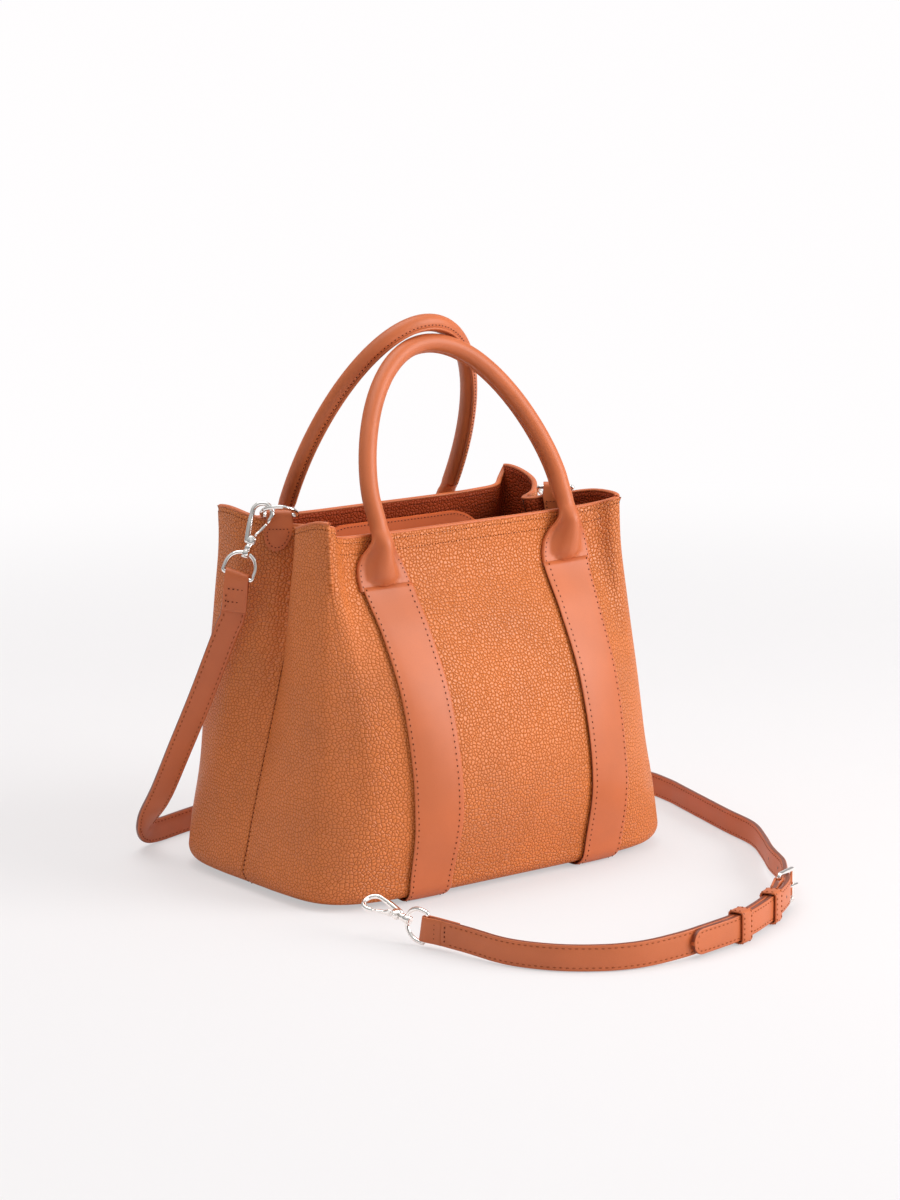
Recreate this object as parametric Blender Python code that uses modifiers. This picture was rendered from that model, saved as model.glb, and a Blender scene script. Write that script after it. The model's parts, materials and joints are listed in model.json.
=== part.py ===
"""A small leather tote handbag with two rolled handles, a detachable shoulder strap and an inner pouch.

Metres, +Z up. The origin is on the floor under the middle of the bag. The front is at -Y and the
strap is clipped to the ring on the left side, at -X. A wall place is given by its half (front or
back), a station (0 at the middle of the panel, 9 at the side seam, negative on the left) and a
height share (0 above the rolled bottom edge, 1 at the rim, below 0 along the roll).
"""
import math

import bmesh
import bpy
from mathutils import Matrix, Vector

# Body of the bag
HALF_LENGTH = 0.137
HALF_DEPTH = 0.1035
RIM_HEIGHT = 0.2145
RIM_RISE = 0.0075
MOUTH_HALF_LENGTH = 0.112
MOUTH_HALF_DEPTH = 0.062
BOTTOM_ROLL = 0.010
TURN_IN = 0.007
LEATHER = 0.0016
FACING = 0.0012
LINING = 0.0008
LAYER_GAP = 0.0004
GAP = 0.0003

# Bands, base and stiffener
BAND_THICKNESS = 0.0020
BASE_THICKNESS = 0.0022
BOARD_THICKNESS = 0.0018

# Handles
HANDLE_RADIUS = 0.0054
HANDLE_WALL = 0.0016
FRONT_HANDLE_SPREAD = 0.0705
BACK_HANDLE_SPREAD = 0.0625
HANDLE_HINGE_DROP = 0.0075
HANDLE_HINGE_HEIGHT = RIM_HEIGHT - HANDLE_HINGE_DROP
FRONT_HINGE_DEPTH = 0.0590
BACK_HINGE_DEPTH = 0.0605
FRONT_HANDLE_HEIGHT = 0.1230
BACK_HANDLE_HEIGHT = 0.1415
FRONT_HANDLE_LEG = 0.030
BACK_HANDLE_LEG = 0.020
FRONT_LEAN_DEGREES = 24.0
BACK_LEAN_DEGREES = 28.6
TAB_WIDTH = 0.036
# How full the shoulders of a handle's arch are: 2 is an ellipse, less is narrower
FRONT_SHOULDER_share = 1.55
BACK_SHOULDER_share = 2.0
# Drop below the hinge and radius of a handle's round end, as shares of the tube's radius
BALL_END_shares = ((0.93, 0.37), (0.70, 0.71), (0.38, 0.925))
BORE_END_shares = ((1.20, 0.25), (0.62, 0.30), (0.40, 0.75))

# Ring tabs and their D-rings
RING_TAB_THICKNESS = 0.0016
RING_TAB_OUTER_LENGTH = 0.0162
RING_TAB_INNER_LENGTH = 0.020
RING_BAR_RISE = 0.0046
LOOP_RADIUS = 0.0025
D_SIDE_HEIGHT = 0.0020
D_WIRE_RADIUS = 0.0013
LEFT_RING_LEAN_DEGREES = 58.0
RIGHT_RING_LEAN_DEGREES = 128.0

# Strap
STRAP_WIDTH = 0.0150
STRAP_THICKNESS = 0.0032
EYE_LEATHER = 0.0014
KEEPER_WIDTH = 0.0100
KEEPER_THICKNESS = 0.0013
KEEPER_CLEARANCE = 0.0007
BUCKLE_LENGTH = 0.0171
BUCKLE_WIRE_RADIUS = 0.0013
PRONG_RADIUS = 0.0008

# Swivel hooks and the rings on the strap
HOOK_WIRE_RADIUS = 0.00145
HOOK_ARC_RADIUS = 0.0060
HOOK_LENGTH = 0.0235
HOOK_ARM_SPREAD = 0.0029
DISC_RADIUS = 0.0030
DISC_THICKNESS = 0.0026
GATE_WIDTH = 0.0050
GATE_THICKNESS = 0.0020
RIVET_RADIUS = 0.0010
STEM_LENGTH = 0.0080
PIN_RADIUS = 0.0011
COLLAR_RADIUS = 0.0022
BOSS_RADIUS = 0.0025
BOSS_HEIGHT = 0.0034
STRAP_RING_HEIGHT = 0.0144

# Inner pouch
POUCH_HALF_WIDTH = 0.064
POUCH_FLARE = 0.020
POUCH_HEIGHT = 0.2048
POUCH_THICKNESS = 0.010
POUCH_LEATHER = 0.0014
POUCH_CORNER = 0.024
POUCH_X = -0.010
POUCH_Y = 0.0065
CORNER_STEPS = 5

OVERRUN = 0.004

# Stations round a quarter of the bag: direction on the unit square (length and depth shares of the
# barrel), then the mouth's length, depth and rise as shares of their sizes.
STATION_shares = (
    ((0.000, 1.00), (0.000, 0.790, 0.00)),
    ((0.369, 1.00), (0.451, 0.790, 0.00)),
    ((0.588, 1.00), (0.719, 0.800, 0.07)),
    ((0.800, 1.00), (0.857, 0.825, 0.20)),
    ((1.000, 1.00), (0.930, 0.925, 0.62)),
    ((1.000, 0.80), (0.985, 0.955, 0.90)),
    ((1.000, 0.60), (1.002, 0.830, 0.97)),
    ((1.000, 0.33), (0.996, 0.460, 0.80)),
    ((1.000, 0.13), (0.872, 0.160, 0.33)),
    ((1.000, 0.00), (0.741, 0.000, 0.07)),
)
LAST = len(STATION_shares) - 1
# How much each station follows the side's blend and not the front's.
SIDE_BLEND_shares = (0.0, 0.0, 0.0, 0.15, 0.40, 0.55, 0.75, 0.90, 1.0, 1.0)
# The wall from the roll to the rim: height, half length, half depth, squareness, and how far the
# front and the side have closed towards the mouth.
PROFILE_shares = (
    (0.000, 1.000, 0.899, 5.0, 0.00, 0.00),
    (0.220, 0.974, 1.000, 3.5, 0.00, 0.15),
    (0.520, 0.953, 1.000, 3.4, 0.20, 0.45),
    (0.725, 0.934, 0.957, 3.35, 0.54, 0.67),
    (0.875, 0.920, 0.908, 3.3, 0.90, 0.85),
    (1.000, 0.912, 0.880, 3.3, 1.00, 1.00),
)
COLUMN_shares = (0.0, 1.0, 1.6, 2.2, 3.0, 4.0, 5.0, 6.0, 7.0, 7.63, 8.0, 8.37, 9.0)
ROW_shares = (-2.0, -1.0, -0.67, -0.33, 0.0, 0.15, 0.30, 0.45, 0.60, 0.72, 0.846, 0.92, 1.0)
BAND_TOP_share = 0.846
FACING_FOOT_share = 0.848
FACING_TOP_share = 0.995
BAND_END_share = -1.83
BAND_COLUMN_shares = (1.0, 1.6, 2.2)
RING_TAB_COLUMN_shares = (7.63, 8.0, 8.37)
LOW_HEIGHT = BOTTOM_ROLL + BASE_THICKNESS + LAYER_GAP
FRONT, BACK = -1, 1
LEFT, RIGHT = -1, 1

# The strap's middle line, one point a row: x, y, z and the direction in degrees that its inner face
# looks to. The first list runs from the clipped hook to the tip, the second from the buckle to the
# hook on the floor.
LONG_STRAP_ROUTE = (
    (-0.1270, 0.0183, 0.1642, -117),
    (-0.1310, 0.0246, 0.1474, -117),
    (-0.1375, 0.0400, 0.1110, -115),
    (-0.1412, 0.0590, 0.0770, -112),
    (-0.1400, 0.0830, 0.0450, -108),
    (-0.1375, 0.1030, 0.0250, -100),
    (-0.1300, 0.1180, 0.0120, -86),
    (-0.1170, 0.1260, 0.0082, -72),
    (-0.0840, 0.1376, 0.0080, -70),
    (-0.0300, 0.1530, 0.0080, -76),
    (0.0350, 0.1600, 0.0080, -88),
    (0.1000, 0.1490, 0.0080, -109),
    (0.1530, 0.1190, 0.0080, -131),
    (0.1880, 0.0750, 0.0080, -153),
    (0.2015, 0.0300, 0.0080, -172),
    (0.1990, 0.0000, 0.0080, -187),
    (0.1920, -0.0260, 0.0080, -197),
    (0.1759, -0.0822, 0.0080, -198),
    (0.1655, -0.1200, 0.0082, -201),
    (0.1475, -0.1500, 0.0092, -208),
    (0.1275, -0.1785, 0.0110, -211),
    (0.1135, -0.2040, 0.0110, -213),
    (0.0992, -0.2214, 0.0110, -217),
    (0.0860, -0.2380, 0.0110, -229),
    (0.0590, -0.2555, 0.0105, -240),
    (0.0200, -0.2725, 0.0100, -253),
    (-0.0240, -0.2800, 0.0095, -265),
)
SHORT_STRAP_ROUTE = (
    (-0.0480, -0.2748, 0.0084, -277),
    (-0.0700, -0.2680, 0.0080, -293),
    (-0.0935, -0.2500, 0.0080, -314),
    (-0.1095, -0.2240, 0.0083, -334),
    (-0.1165, -0.1950, 0.0098, -347),
    (-0.1238, -0.1665, 0.0112, -346),
)
HANGING_DIRECTION_shares = (-0.440, 0.050, -0.897)
FLOOR_HOOK_DIRECTION_shares = (-0.202, 0.959, 0.198)
FLOOR_HOOK_FACE_shares = (-0.307, -0.254, 0.917)
HANGING_FACE_shares = (-0.70, -0.70, 0.10)
CONTACT_DEGREES = 34.0
KEEPER_STATION_shares = (0.27, 0.64)
BUCKLE_PLACE = (0.0860, -0.2380, 0.0110)
STRAP_SPACING = 0.010


def clear_scene():
    for item in list(bpy.context.scene.objects):
        bpy.data.objects.remove(item, do_unlink=True)


def make_collection(name):
    group = bpy.data.collections.new(name)
    bpy.context.scene.collection.children.link(group)
    return group


def make_material(name, color, roughness, metallic=0.0):
    material = bpy.data.materials.new(name)
    material.use_nodes = True
    shader = material.node_tree.nodes["Principled BSDF"]
    shader.inputs["Base Color"].default_value = (*color, 1.0)
    shader.inputs["Roughness"].default_value = roughness
    shader.inputs["Metallic"].default_value = metallic
    material.diffuse_color = (*color, 1.0)
    return material


def catmull_rom(before, start, end, after, share):
    """Smooth point between start and end, on values of one knot spacing."""
    square = share * share
    cube = square * share
    return 0.5 * (2 * start + (end - before) * share
                  + (2 * before - 5 * start + 4 * end - after) * square
                  + (3 * start - before - 3 * end + after) * cube)


def smooth_table(rows, at):
    """Cubic through rows whose first entry is the knot, with slopes from their neighbours."""
    last = len(rows) - 1
    index = 0
    while index < last - 1 and at > rows[index + 1][0]:
        index += 1
    low, high = rows[index], rows[index + 1]
    before, after = rows[max(index - 1, 0)], rows[min(index + 2, last)]
    span = high[0] - low[0]
    share = (at - low[0]) / span
    values = []
    for k in range(1, len(low)):
        slope_low = (high[k] - before[k]) / (high[0] - before[0]) * span
        slope_high = (after[k] - low[k]) / (after[0] - low[0]) * span
        square, cube = share ** 2, share ** 3
        values.append((2 * cube - 3 * square + 1) * low[k] + (cube - 2 * square + share) * slope_low
                      + (3 * square - 2 * cube) * high[k] + (cube - square) * slope_high)
    return values


def knot_point(index, height):
    """Plan place and height of one station, the wall blended from the barrel into the mouth."""
    mirror_x = index < 0
    mirror_y = index > LAST
    knot = abs(index) if index <= LAST else 2 * LAST - index
    (along, across), (mouth_x, mouth_y, rise) = STATION_shares[knot]
    wall = smooth_table(PROFILE_shares, min(max(height, 0.0), 1.0))
    length_share, depth_share, squareness, front_blend, side_blend = wall
    reach = (along ** squareness + across ** squareness) ** (-1.0 / squareness)
    barrel = Vector((HALF_LENGTH * length_share * along * reach, HALF_DEPTH * depth_share * across * reach))
    mouth = Vector((MOUTH_HALF_LENGTH * mouth_x, MOUTH_HALF_DEPTH * mouth_y))
    side = SIDE_BLEND_shares[knot]
    closed = front_blend + (side_blend - front_blend) * side
    plan = barrel.lerp(mouth, closed)
    rim = RIM_HEIGHT + RIM_RISE * rise
    z = LOW_HEIGHT + (rim - LOW_HEIGHT) * max(height, 0.0)
    return Vector((-plan.x if mirror_x else plan.x, -plan.y if mirror_y else plan.y, z))


def plan_point(station, height):
    index = min(int(station), LAST - 1)
    around = [knot_point(index + step, height) for step in (-1, 0, 1, 2)]
    return catmull_rom(*around, station - index)


def quarter_point(station, height):
    """Point on the outer surface of a quarter, with the roll and turn-in below height share 0."""
    if height >= 0:
        return plan_point(station, height)
    step = 0.01
    foot = plan_point(station, 0)
    low, high = max(station - step, 0.0), min(station + step, float(LAST))
    along = plan_point(high, 0) - plan_point(low, 0)
    inward = Vector((-abs(along.y), -abs(along.x), 0)).normalized()
    turn = min(-height, 1.0) * math.pi / 2
    inset = BOTTOM_ROLL * (1 - math.cos(turn)) + TURN_IN * max(-height - 1, 0.0)
    return foot + inward * inset - Vector((0, 0, BOTTOM_ROLL * math.sin(turn)))


def quarter_normal(station, height):
    step = 0.01
    low, high = max(station - step, 0.0), min(station + step, float(LAST))
    along = quarter_point(high, height) - quarter_point(low, height)
    up_low, up_high = max(height - step, -2.0), min(height + step, 1.0)
    upward = quarter_point(station, up_high) - quarter_point(station, up_low)
    return upward.cross(along).normalized()


def wall_point(half, station, height, outward=0.0):
    """Point of the wall on one half, pushed outward along the surface's normal, mitred at the seam."""
    place = abs(station)
    side = -1 if station < 0 else 1
    if place < LAST:
        point = quarter_point(place, height) + quarter_normal(place, height) * outward
    else:
        mitre = quarter_normal((LAST + COLUMN_shares[-2]) / 2, height)
        mitre.y = 0
        point = quarter_point(place, height) + mitre * (outward / mitre.length_squared)
        point.y = GAP / 2
    return Vector((point.x * side, point.y * half, point.z))


def wall_columns(half, stations):
    """Stations in the order that makes the grid's faces look outward."""
    ordered = sorted(stations)
    return ordered if half == FRONT else ordered[::-1]


def all_stations():
    return sorted(set(COLUMN_shares) | {-share for share in COLUMN_shares})


def height_share(z):
    return (z - LOW_HEIGHT) / (RIM_HEIGHT - LOW_HEIGHT)


def mesh_object(name, points, faces, material, group, closed=True):
    mesh = bpy.data.meshes.new(name)
    mesh.from_pydata([tuple(point) for point in points], [], faces)
    if closed:
        body = bmesh.new()
        body.from_mesh(mesh)
        bmesh.ops.recalc_face_normals(body, faces=body.faces)
        body.to_mesh(mesh)
        body.free()
    mesh.materials.append(material)
    item = bpy.data.objects.new(name, mesh)
    group.objects.link(item)
    return item


def grid_faces(columns, rows, cyclic=False):
    faces = []
    for i in range(columns if cyclic else columns - 1):
        after = (i + 1) % columns
        for j in range(rows - 1):
            faces.append((i * rows + j, after * rows + j, after * rows + j + 1, i * rows + j + 1))
    return faces


def solidify(item, thickness, offset=-1.0):
    layer = item.modifiers.new("thickness", "SOLIDIFY")
    layer.thickness = thickness
    layer.offset = offset
    return item


def wall_layer(name, half, stations, rows, outward, thickness, material, group):
    """One leather layer on a half of the bag, from an open surface that lies outward of the wall."""
    columns = wall_columns(half, stations)
    points = [wall_point(half, station, row, outward) for station in columns for row in rows]
    faces = grid_faces(len(columns), len(rows))
    return solidify(mesh_object(name, points, faces, material, group, closed=False), thickness)


def make_lining(material, group):
    """The lining: one closed tub, with its floor over the base board."""
    rows = [row for row in ROW_shares if row < FACING_FOOT_share - LAYER_GAP]
    outward = -(LEATHER + LAYER_GAP)
    front = [(FRONT, station) for station in all_stations()]
    back = [(BACK, station) for station in all_stations()[-2:0:-1]]
    points = [wall_point(half, station, row, outward) for half, station in front + back for row in rows]
    columns = len(front) + len(back)
    faces = grid_faces(columns, len(rows), cyclic=True)
    middle = len(points)
    points.append(Vector((0, 0, points[0].z)))
    for i in range(columns):
        faces.append((i * len(rows), middle, (i + 1) % columns * len(rows)))
    return solidify(mesh_object("lining", points, faces, material, group, closed=False), LINING)


def make_plate(name, inset, bottom, thickness, material, group):
    """A flat plate whose outline follows the bottom of the wall, drawn in by a given inset."""
    outline = []
    for half in (FRONT, BACK):
        for station in wall_columns(half, all_stations())[:-1]:
            place = abs(station)
            point = quarter_point(place, -1 - (inset - BOTTOM_ROLL) / TURN_IN)
            outline.append(Vector((math.copysign(point.x, station), half * point.y, bottom + thickness)))
    item = mesh_object(name, outline, [tuple(range(len(outline)))], material, group, closed=False)
    return solidify(item, thickness)


def frame_matrix(origin, x_axis, z_axis):
    """World matrix with its Z along z_axis and its X as near x_axis as it can be."""
    up = Vector(z_axis).normalized()
    side = Vector(x_axis)
    side = (side - up * side.dot(up)).normalized()
    depth = up.cross(side)
    matrix = Matrix((side, depth, up)).transposed().to_4x4()
    matrix.translation = origin
    return matrix


def wire(name, points, radius, frame, material, group, cyclic=False, radii=None, sides=2):
    """A round wire or tube along points of its own frame."""
    data = bpy.data.curves.new(name, "CURVE")
    data.dimensions = "3D"
    data.bevel_depth = radius
    data.bevel_resolution = sides
    data.use_fill_caps = True
    spline = data.splines.new("POLY")
    spline.points.add(len(points) - 1)
    for i, point in enumerate(points):
        spline.points[i].co = (*point, 1.0)
        spline.points[i].radius = radii[i] if radii else 1.0
    spline.use_cyclic_u = cyclic
    data.materials.append(material)
    item = bpy.data.objects.new(name, data)
    item.matrix_world = frame
    group.objects.link(item)
    return item


def to_mesh(item, group):
    """The same shape as a closed mesh, its caps welded."""
    bpy.context.view_layer.update()
    mesh = bpy.data.meshes.new_from_object(item.evaluated_get(bpy.context.evaluated_depsgraph_get()))
    body = bmesh.new()
    body.from_mesh(mesh)
    bmesh.ops.remove_doubles(body, verts=body.verts, dist=GAP / 30)
    bmesh.ops.recalc_face_normals(body, faces=body.faces)
    body.to_mesh(mesh)
    body.free()
    name, matrix = item.name, item.matrix_world.copy()
    material = item.data.materials[0]
    bpy.data.objects.remove(item, do_unlink=True)
    if not mesh.materials:
        mesh.materials.append(material)
    made = bpy.data.objects.new(name, mesh)
    made.name = name
    made.matrix_world = matrix
    group.objects.link(made)
    return made


def cylinder(name, radius, start, end, frame, material, group, segments=12):
    start, end = Vector(start), Vector(end)
    turn = (end - start).to_track_quat("Z", "Y").to_matrix().to_4x4()
    turn.translation = (start + end) / 2
    body = bmesh.new()
    bmesh.ops.create_cone(body, cap_ends=True, segments=segments, radius1=radius, radius2=radius,
                          depth=(end - start).length, matrix=turn)
    return from_bmesh(name, body, frame, material, group)


def box(name, low, high, frame, material, group):
    low, high = Vector(low), Vector(high)
    shape = Matrix.Translation((low + high) / 2) @ Matrix.Diagonal((*(high - low), 1.0))
    body = bmesh.new()
    bmesh.ops.create_cube(body, size=1.0, matrix=shape)
    return from_bmesh(name, body, frame, material, group)


def from_bmesh(name, body, frame, material, group):
    mesh = bpy.data.meshes.new(name)
    body.to_mesh(mesh)
    body.free()
    mesh.materials.append(material)
    item = bpy.data.objects.new(name, mesh)
    item.matrix_world = frame
    group.objects.link(item)
    return item


def combine(item, other, operation, cutters):
    """Boolean modifier with a piece that is kept as a guide and not built."""
    for group in list(other.users_collection):
        group.objects.unlink(other)
    cutters.objects.link(other)
    other.hide_render = True
    other.display_type = "WIRE"
    modifier = item.modifiers.new(operation.lower(), "BOOLEAN")
    modifier.operation = operation
    modifier.object = other
    return item


def handle_path(spread, leg, height, shoulder):
    """Middle line of a handle in its own plane, from hinge to hinge: two straight legs and an arch."""
    legs = [leg * share for share in (0.0, 0.35, 0.7)]
    points = [Vector((-spread, 0, rise)) for rise in legs]
    count = 18
    for step in range(count + 1):
        angle = math.pi * step / count
        rise = abs(math.sin(angle)) ** (2 / shoulder)
        points.append(Vector((-spread * math.cos(angle), 0, leg + (height - leg) * rise)))
    return points + [Vector((spread, 0, rise)) for rise in legs[::-1]]


def rounded_ends(path, ends):
    """The path lengthened by a round end: (drop, radius) shares of the tube's radius."""
    lower = [(Vector((0, 0, -drop * HANDLE_RADIUS)), radius) for drop, radius in ends]
    points = [path[0] + drop for drop, radius in lower] + path + [path[-1] + drop for drop, radius in lower[::-1]]
    radii = [radius for drop, radius in lower] + [1.0] * len(path) + [radius for drop, radius in lower[::-1]]
    return points, radii


def make_handle(name, half, hinge_depth, path, lean_degrees, parts, group, cutters):
    """A rolled leather cover with ball ends on its hinge axis, over a rope core."""
    lean = Matrix.Rotation(math.radians(lean_degrees) * half, 4, "X")
    frame = Matrix.Translation((0, half * hinge_depth, HANDLE_HINGE_HEIGHT)) @ lean
    points, radii = rounded_ends(path, BALL_END_shares)
    cover = wire(name + "_cover", points, HANDLE_RADIUS, frame, parts["smooth_leather"], group,
                 radii=radii, sides=3)
    cover = to_mesh(cover, group)
    bore_radius = HANDLE_RADIUS - HANDLE_WALL
    points, radii = rounded_ends(path, BORE_END_shares)
    bore = to_mesh(wire(name + "_bore", points, bore_radius, frame, parts["cord"], group, radii=radii), group)
    combine(cover, bore, "DIFFERENCE", cutters)
    cover.data.shade_smooth()
    wire(name + "_core", path, bore_radius - GAP, frame, parts["cord"], group)


def make_handle_tab(name, half, side, hinge_depth, spread, material, group):
    """The flared end of a handle: flat over the band, round under the hinge."""
    shares = (0.0, 0.25, 0.5, 0.75, 1.0)
    sides = 12
    top = HANDLE_HINGE_HEIGHT - HANDLE_RADIUS - GAP
    middle_share, edge_share = BAND_COLUMN_shares[1:]
    foot = wall_point(half, middle_share, BAND_TOP_share, BAND_THICKNESS + GAP).z + GAP
    points = []
    for share in shares:
        z = foot + (top - foot) * share
        half_width = TAB_WIDTH / 2 + (HANDLE_RADIUS - TAB_WIDTH / 2) * share ** 1.4
        half_thickness = BAND_THICKNESS / 2 + (HANDLE_RADIUS - BAND_THICKNESS / 2) * share
        roundness = 2 / (5 - 3 * share)
        wall = abs(wall_point(half, edge_share, height_share(z)).y)
        seat = wall + 2 * GAP + half_thickness
        depth = seat + (hinge_depth - seat) * share ** 3
        middle = wall_point(half, middle_share, height_share(z)).x
        x = middle + (spread - middle) * share
        for step in range(sides):
            angle = 2 * math.pi * step / sides
            across = math.copysign(abs(math.cos(angle)) ** roundness, math.cos(angle)) * half_width
            out = math.copysign(abs(math.sin(angle)) ** roundness, math.sin(angle)) * half_thickness
            points.append(Vector((side * (x + across), half * (depth + out), z)))
    faces = [tuple(range(sides)), tuple(range(sides * (len(shares) - 1), sides * len(shares)))]
    for ring in range(len(shares) - 1):
        for step in range(sides):
            after = (step + 1) % sides
            low, high = ring * sides, (ring + 1) * sides
            faces.append((low + step, low + after, high + after, high + step))
    return mesh_object(name, points, faces, material, group)


def ring_tab_section():
    """Section of a ring tab: outward distance and rise over the rim, up, round the bar and down."""
    wall = LEATHER + LAYER_GAP + FACING
    outer = 2 * GAP + RING_TAB_THICKNESS / 2
    inner = -(wall + 3 * GAP + RING_TAB_THICKNESS / 2)
    middle = (outer + inner) / 2
    section = [(outer, -RING_TAB_OUTER_LENGTH), (outer, -RING_TAB_OUTER_LENGTH / 2), (outer, 0.0)]
    for step in range(7):
        angle = math.pi * step / 6
        section.append((middle + LOOP_RADIUS * math.cos(angle), RING_BAR_RISE + LOOP_RADIUS * math.sin(angle)))
    return section + [(inner, 0.0), (inner, -RING_TAB_INNER_LENGTH / 2), (inner, -RING_TAB_INNER_LENGTH)]


def ring_tab_outward(half, side):
    """Level direction out of the wall, square to the line between the tab's two edges at the rim."""
    ends = [wall_point(half, side * station, 1.0) for station in RING_TAB_COLUMN_shares]
    along = ends[0] - ends[2]
    along.z = 0
    return along.normalized().cross(Vector((0, 0, 1))) * (side * half)


def ring_tab_point(half, side, station, outward, rise):
    """Point on a ring tab at a height over the rim's own height at the tab's middle column.

    Under the rim the tab follows the wall; its loop is straight along the bar.
    """
    rims = [wall_point(half, side * share, 1.0) for share in RING_TAB_COLUMN_shares]
    rim = wall_point(half, side * station, 1.0)
    height = rims[1].z + rise
    share = (height - LOW_HEIGHT) / (rim.z - LOW_HEIGHT)
    place = wall_point(half, side * station, min(share, 1.0))
    place.z = height
    direction = ring_tab_outward(half, side)
    bow = (rim - (rims[0] + rims[2]) / 4 - rims[1] / 2).dot(direction)
    straight = min(max(rise / RING_BAR_RISE, 0.0), 1.0)
    return place + direction * (outward - bow * straight)


def make_ring_tab(name, half, side, material, group):
    """A leather loop sewn through the wall beside the side seam; it holds a D-ring's bar."""
    section = ring_tab_section()
    columns = RING_TAB_COLUMN_shares
    points = [ring_tab_point(half, side, station, *place) for station in columns for place in section]
    item = mesh_object(name, points, grid_faces(len(columns), len(section)), material, group, closed=False)
    return solidify(item, RING_TAB_THICKNESS, 0.0)


def ring_seat(half, side):
    """Middle, direction, outward direction and length of the bar that a ring tab holds."""
    section = ring_tab_section()
    middle = (section[3][0] + section[9][0]) / 2
    ends = [ring_tab_point(half, side, station, middle, RING_BAR_RISE) for station in RING_TAB_COLUMN_shares]
    along = ends[0] - ends[2]
    centre = (ends[0] + ends[2]) / 4 + ends[1] / 2
    along.z = 0
    return centre, along.normalized(), ring_tab_outward(half, side), along.length


def d_ring_radius(tab_width):
    return tab_width / 2 + 4 * GAP + D_WIRE_RADIUS


def make_d_ring(name, half, side, lean_degrees, material, group):
    """A D-ring: a straight bar and a half circle, leaning out from upright by the given angle."""
    centre, along, outward, width = ring_seat(half, side)
    lean = math.radians(lean_degrees)
    upward = outward * math.sin(lean) + Vector((0, 0, math.cos(lean)))
    frame = frame_matrix(centre, along, upward)
    radius = d_ring_radius(width)
    points = [Vector((radius * share, 0, 0)) for share in (-1, 0, 1)]
    count = 12
    for step in range(count + 1):
        angle = math.pi * step / count
        points.append(Vector((radius * math.cos(angle), 0, D_SIDE_HEIGHT + radius * math.sin(angle))))
    wire(name, points, D_WIRE_RADIUS, frame, material, group, cyclic=True)
    return frame, radius


def hook_arm():
    """Middle line of a hook's wire: up the fixed arm, over the top and down to the nose."""
    top = HOOK_LENGTH - HOOK_ARC_RADIUS
    points = [Vector((-HOOK_ARM_SPREAD, 0, -DISC_RADIUS / 4)), Vector((-HOOK_ARM_SPREAD, 0, DISC_RADIUS / 2)),
              Vector((-HOOK_ARC_RADIUS * 0.82, 0, top * 0.6))]
    count = 10
    for step in range(count + 1):
        angle = math.pi * (1 - step / count)
        points.append(Vector((HOOK_ARC_RADIUS * math.cos(angle), 0, top + HOOK_ARC_RADIUS * math.sin(angle))))
    points.append(Vector((HOOK_ARC_RADIUS * 0.93, 0, top * 0.80)))
    return points


def make_hook(prefix, frame, parts, group, cutters):
    """A swivel hook on its rivet: wire body with disc and stem, sprung gate, rivet."""
    metal = parts["metal"]
    body = to_mesh(wire(f"{prefix}_body", hook_arm(), HOOK_WIRE_RADIUS, frame, metal, group), group)
    half_disc = DISC_THICKNESS / 2
    collar_end = -(STEM_LENGTH - BOSS_HEIGHT / 2 - GAP)
    head_start = -(STEM_LENGTH + BOSS_HEIGHT / 2 + GAP)
    head_end = head_start - PIN_RADIUS
    pieces = (
        ("disc", DISC_RADIUS, (0, -half_disc, 0), (0, half_disc, 0)),
        ("collar", COLLAR_RADIUS, (0, 0, -DISC_RADIUS - GAP), (0, 0, collar_end)),
        ("pin", PIN_RADIUS, (0, 0, -DISC_RADIUS / 2), (0, 0, (head_start + head_end) / 2)),
        ("head", BOSS_RADIUS, (0, 0, head_start), (0, 0, head_end)),
    )
    for name, radius, start, end in pieces:
        guide = cylinder(f"{prefix}_{name}", radius, start, end, frame, metal, group)
        combine(body, guide, "UNION", cutters)
    bore_reach = GATE_WIDTH / 2 + OVERRUN
    bore = cylinder(f"{prefix}_bore", RIVET_RADIUS + GAP, (0, -bore_reach, 0), (0, bore_reach, 0), frame,
                    metal, group)
    combine(body, bore, "DIFFERENCE", cutters)
    cylinder(f"{prefix}_rivet", RIVET_RADIUS, (0, -GATE_WIDTH / 2, 0), (0, GATE_WIDTH / 2, 0), frame,
             metal, group)
    make_gate(prefix, frame, metal, group, cutters)


def make_gate(prefix, frame, metal, group, cutters):
    """The gate: two cheeks over the disc, bridged to a lever that ends under the nose."""
    nose = hook_arm()[-1]
    tip = Vector((nose.x, 0, nose.z)) * (1 - (HOOK_WIRE_RADIUS + GAP) / nose.length)
    turn = math.atan2(tip.x, tip.z)
    lever = frame @ Matrix.Rotation(turn, 4, "Y")
    half = GATE_WIDTH / 2
    clear = DISC_RADIUS + 2 * GAP
    gate = cylinder(f"{prefix}_gate", DISC_RADIUS * 0.8, (0, -half, 0), (0, half, 0), lever, metal, group)
    inset = half - GAP
    bridge = box(f"{prefix}_gate_bridge", (-GATE_THICKNESS / 2, -inset, GATE_THICKNESS / 3),
                 (GATE_THICKNESS / 2, inset, clear + GATE_THICKNESS), lever, metal, group)
    rod = cylinder(f"{prefix}_gate_rod", GATE_THICKNESS * 0.45, (0, 0, clear + GATE_THICKNESS / 2),
                   (0, 0, tip.length), lever, metal, group)
    slot = cylinder(f"{prefix}_gate_slot", clear, (0, -DISC_THICKNESS / 2 - GAP, 0),
                    (0, DISC_THICKNESS / 2 + GAP, 0), lever, metal, group, segments=16)
    hole = cylinder(f"{prefix}_gate_hole", RIVET_RADIUS + GAP, (0, -half - OVERRUN, 0),
                    (0, half + OVERRUN, 0), lever, metal, group)
    combine(gate, bridge, "UNION", cutters)
    combine(gate, rod, "UNION", cutters)
    combine(gate, slot, "DIFFERENCE", cutters)
    combine(gate, hole, "DIFFERENCE", cutters)


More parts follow.
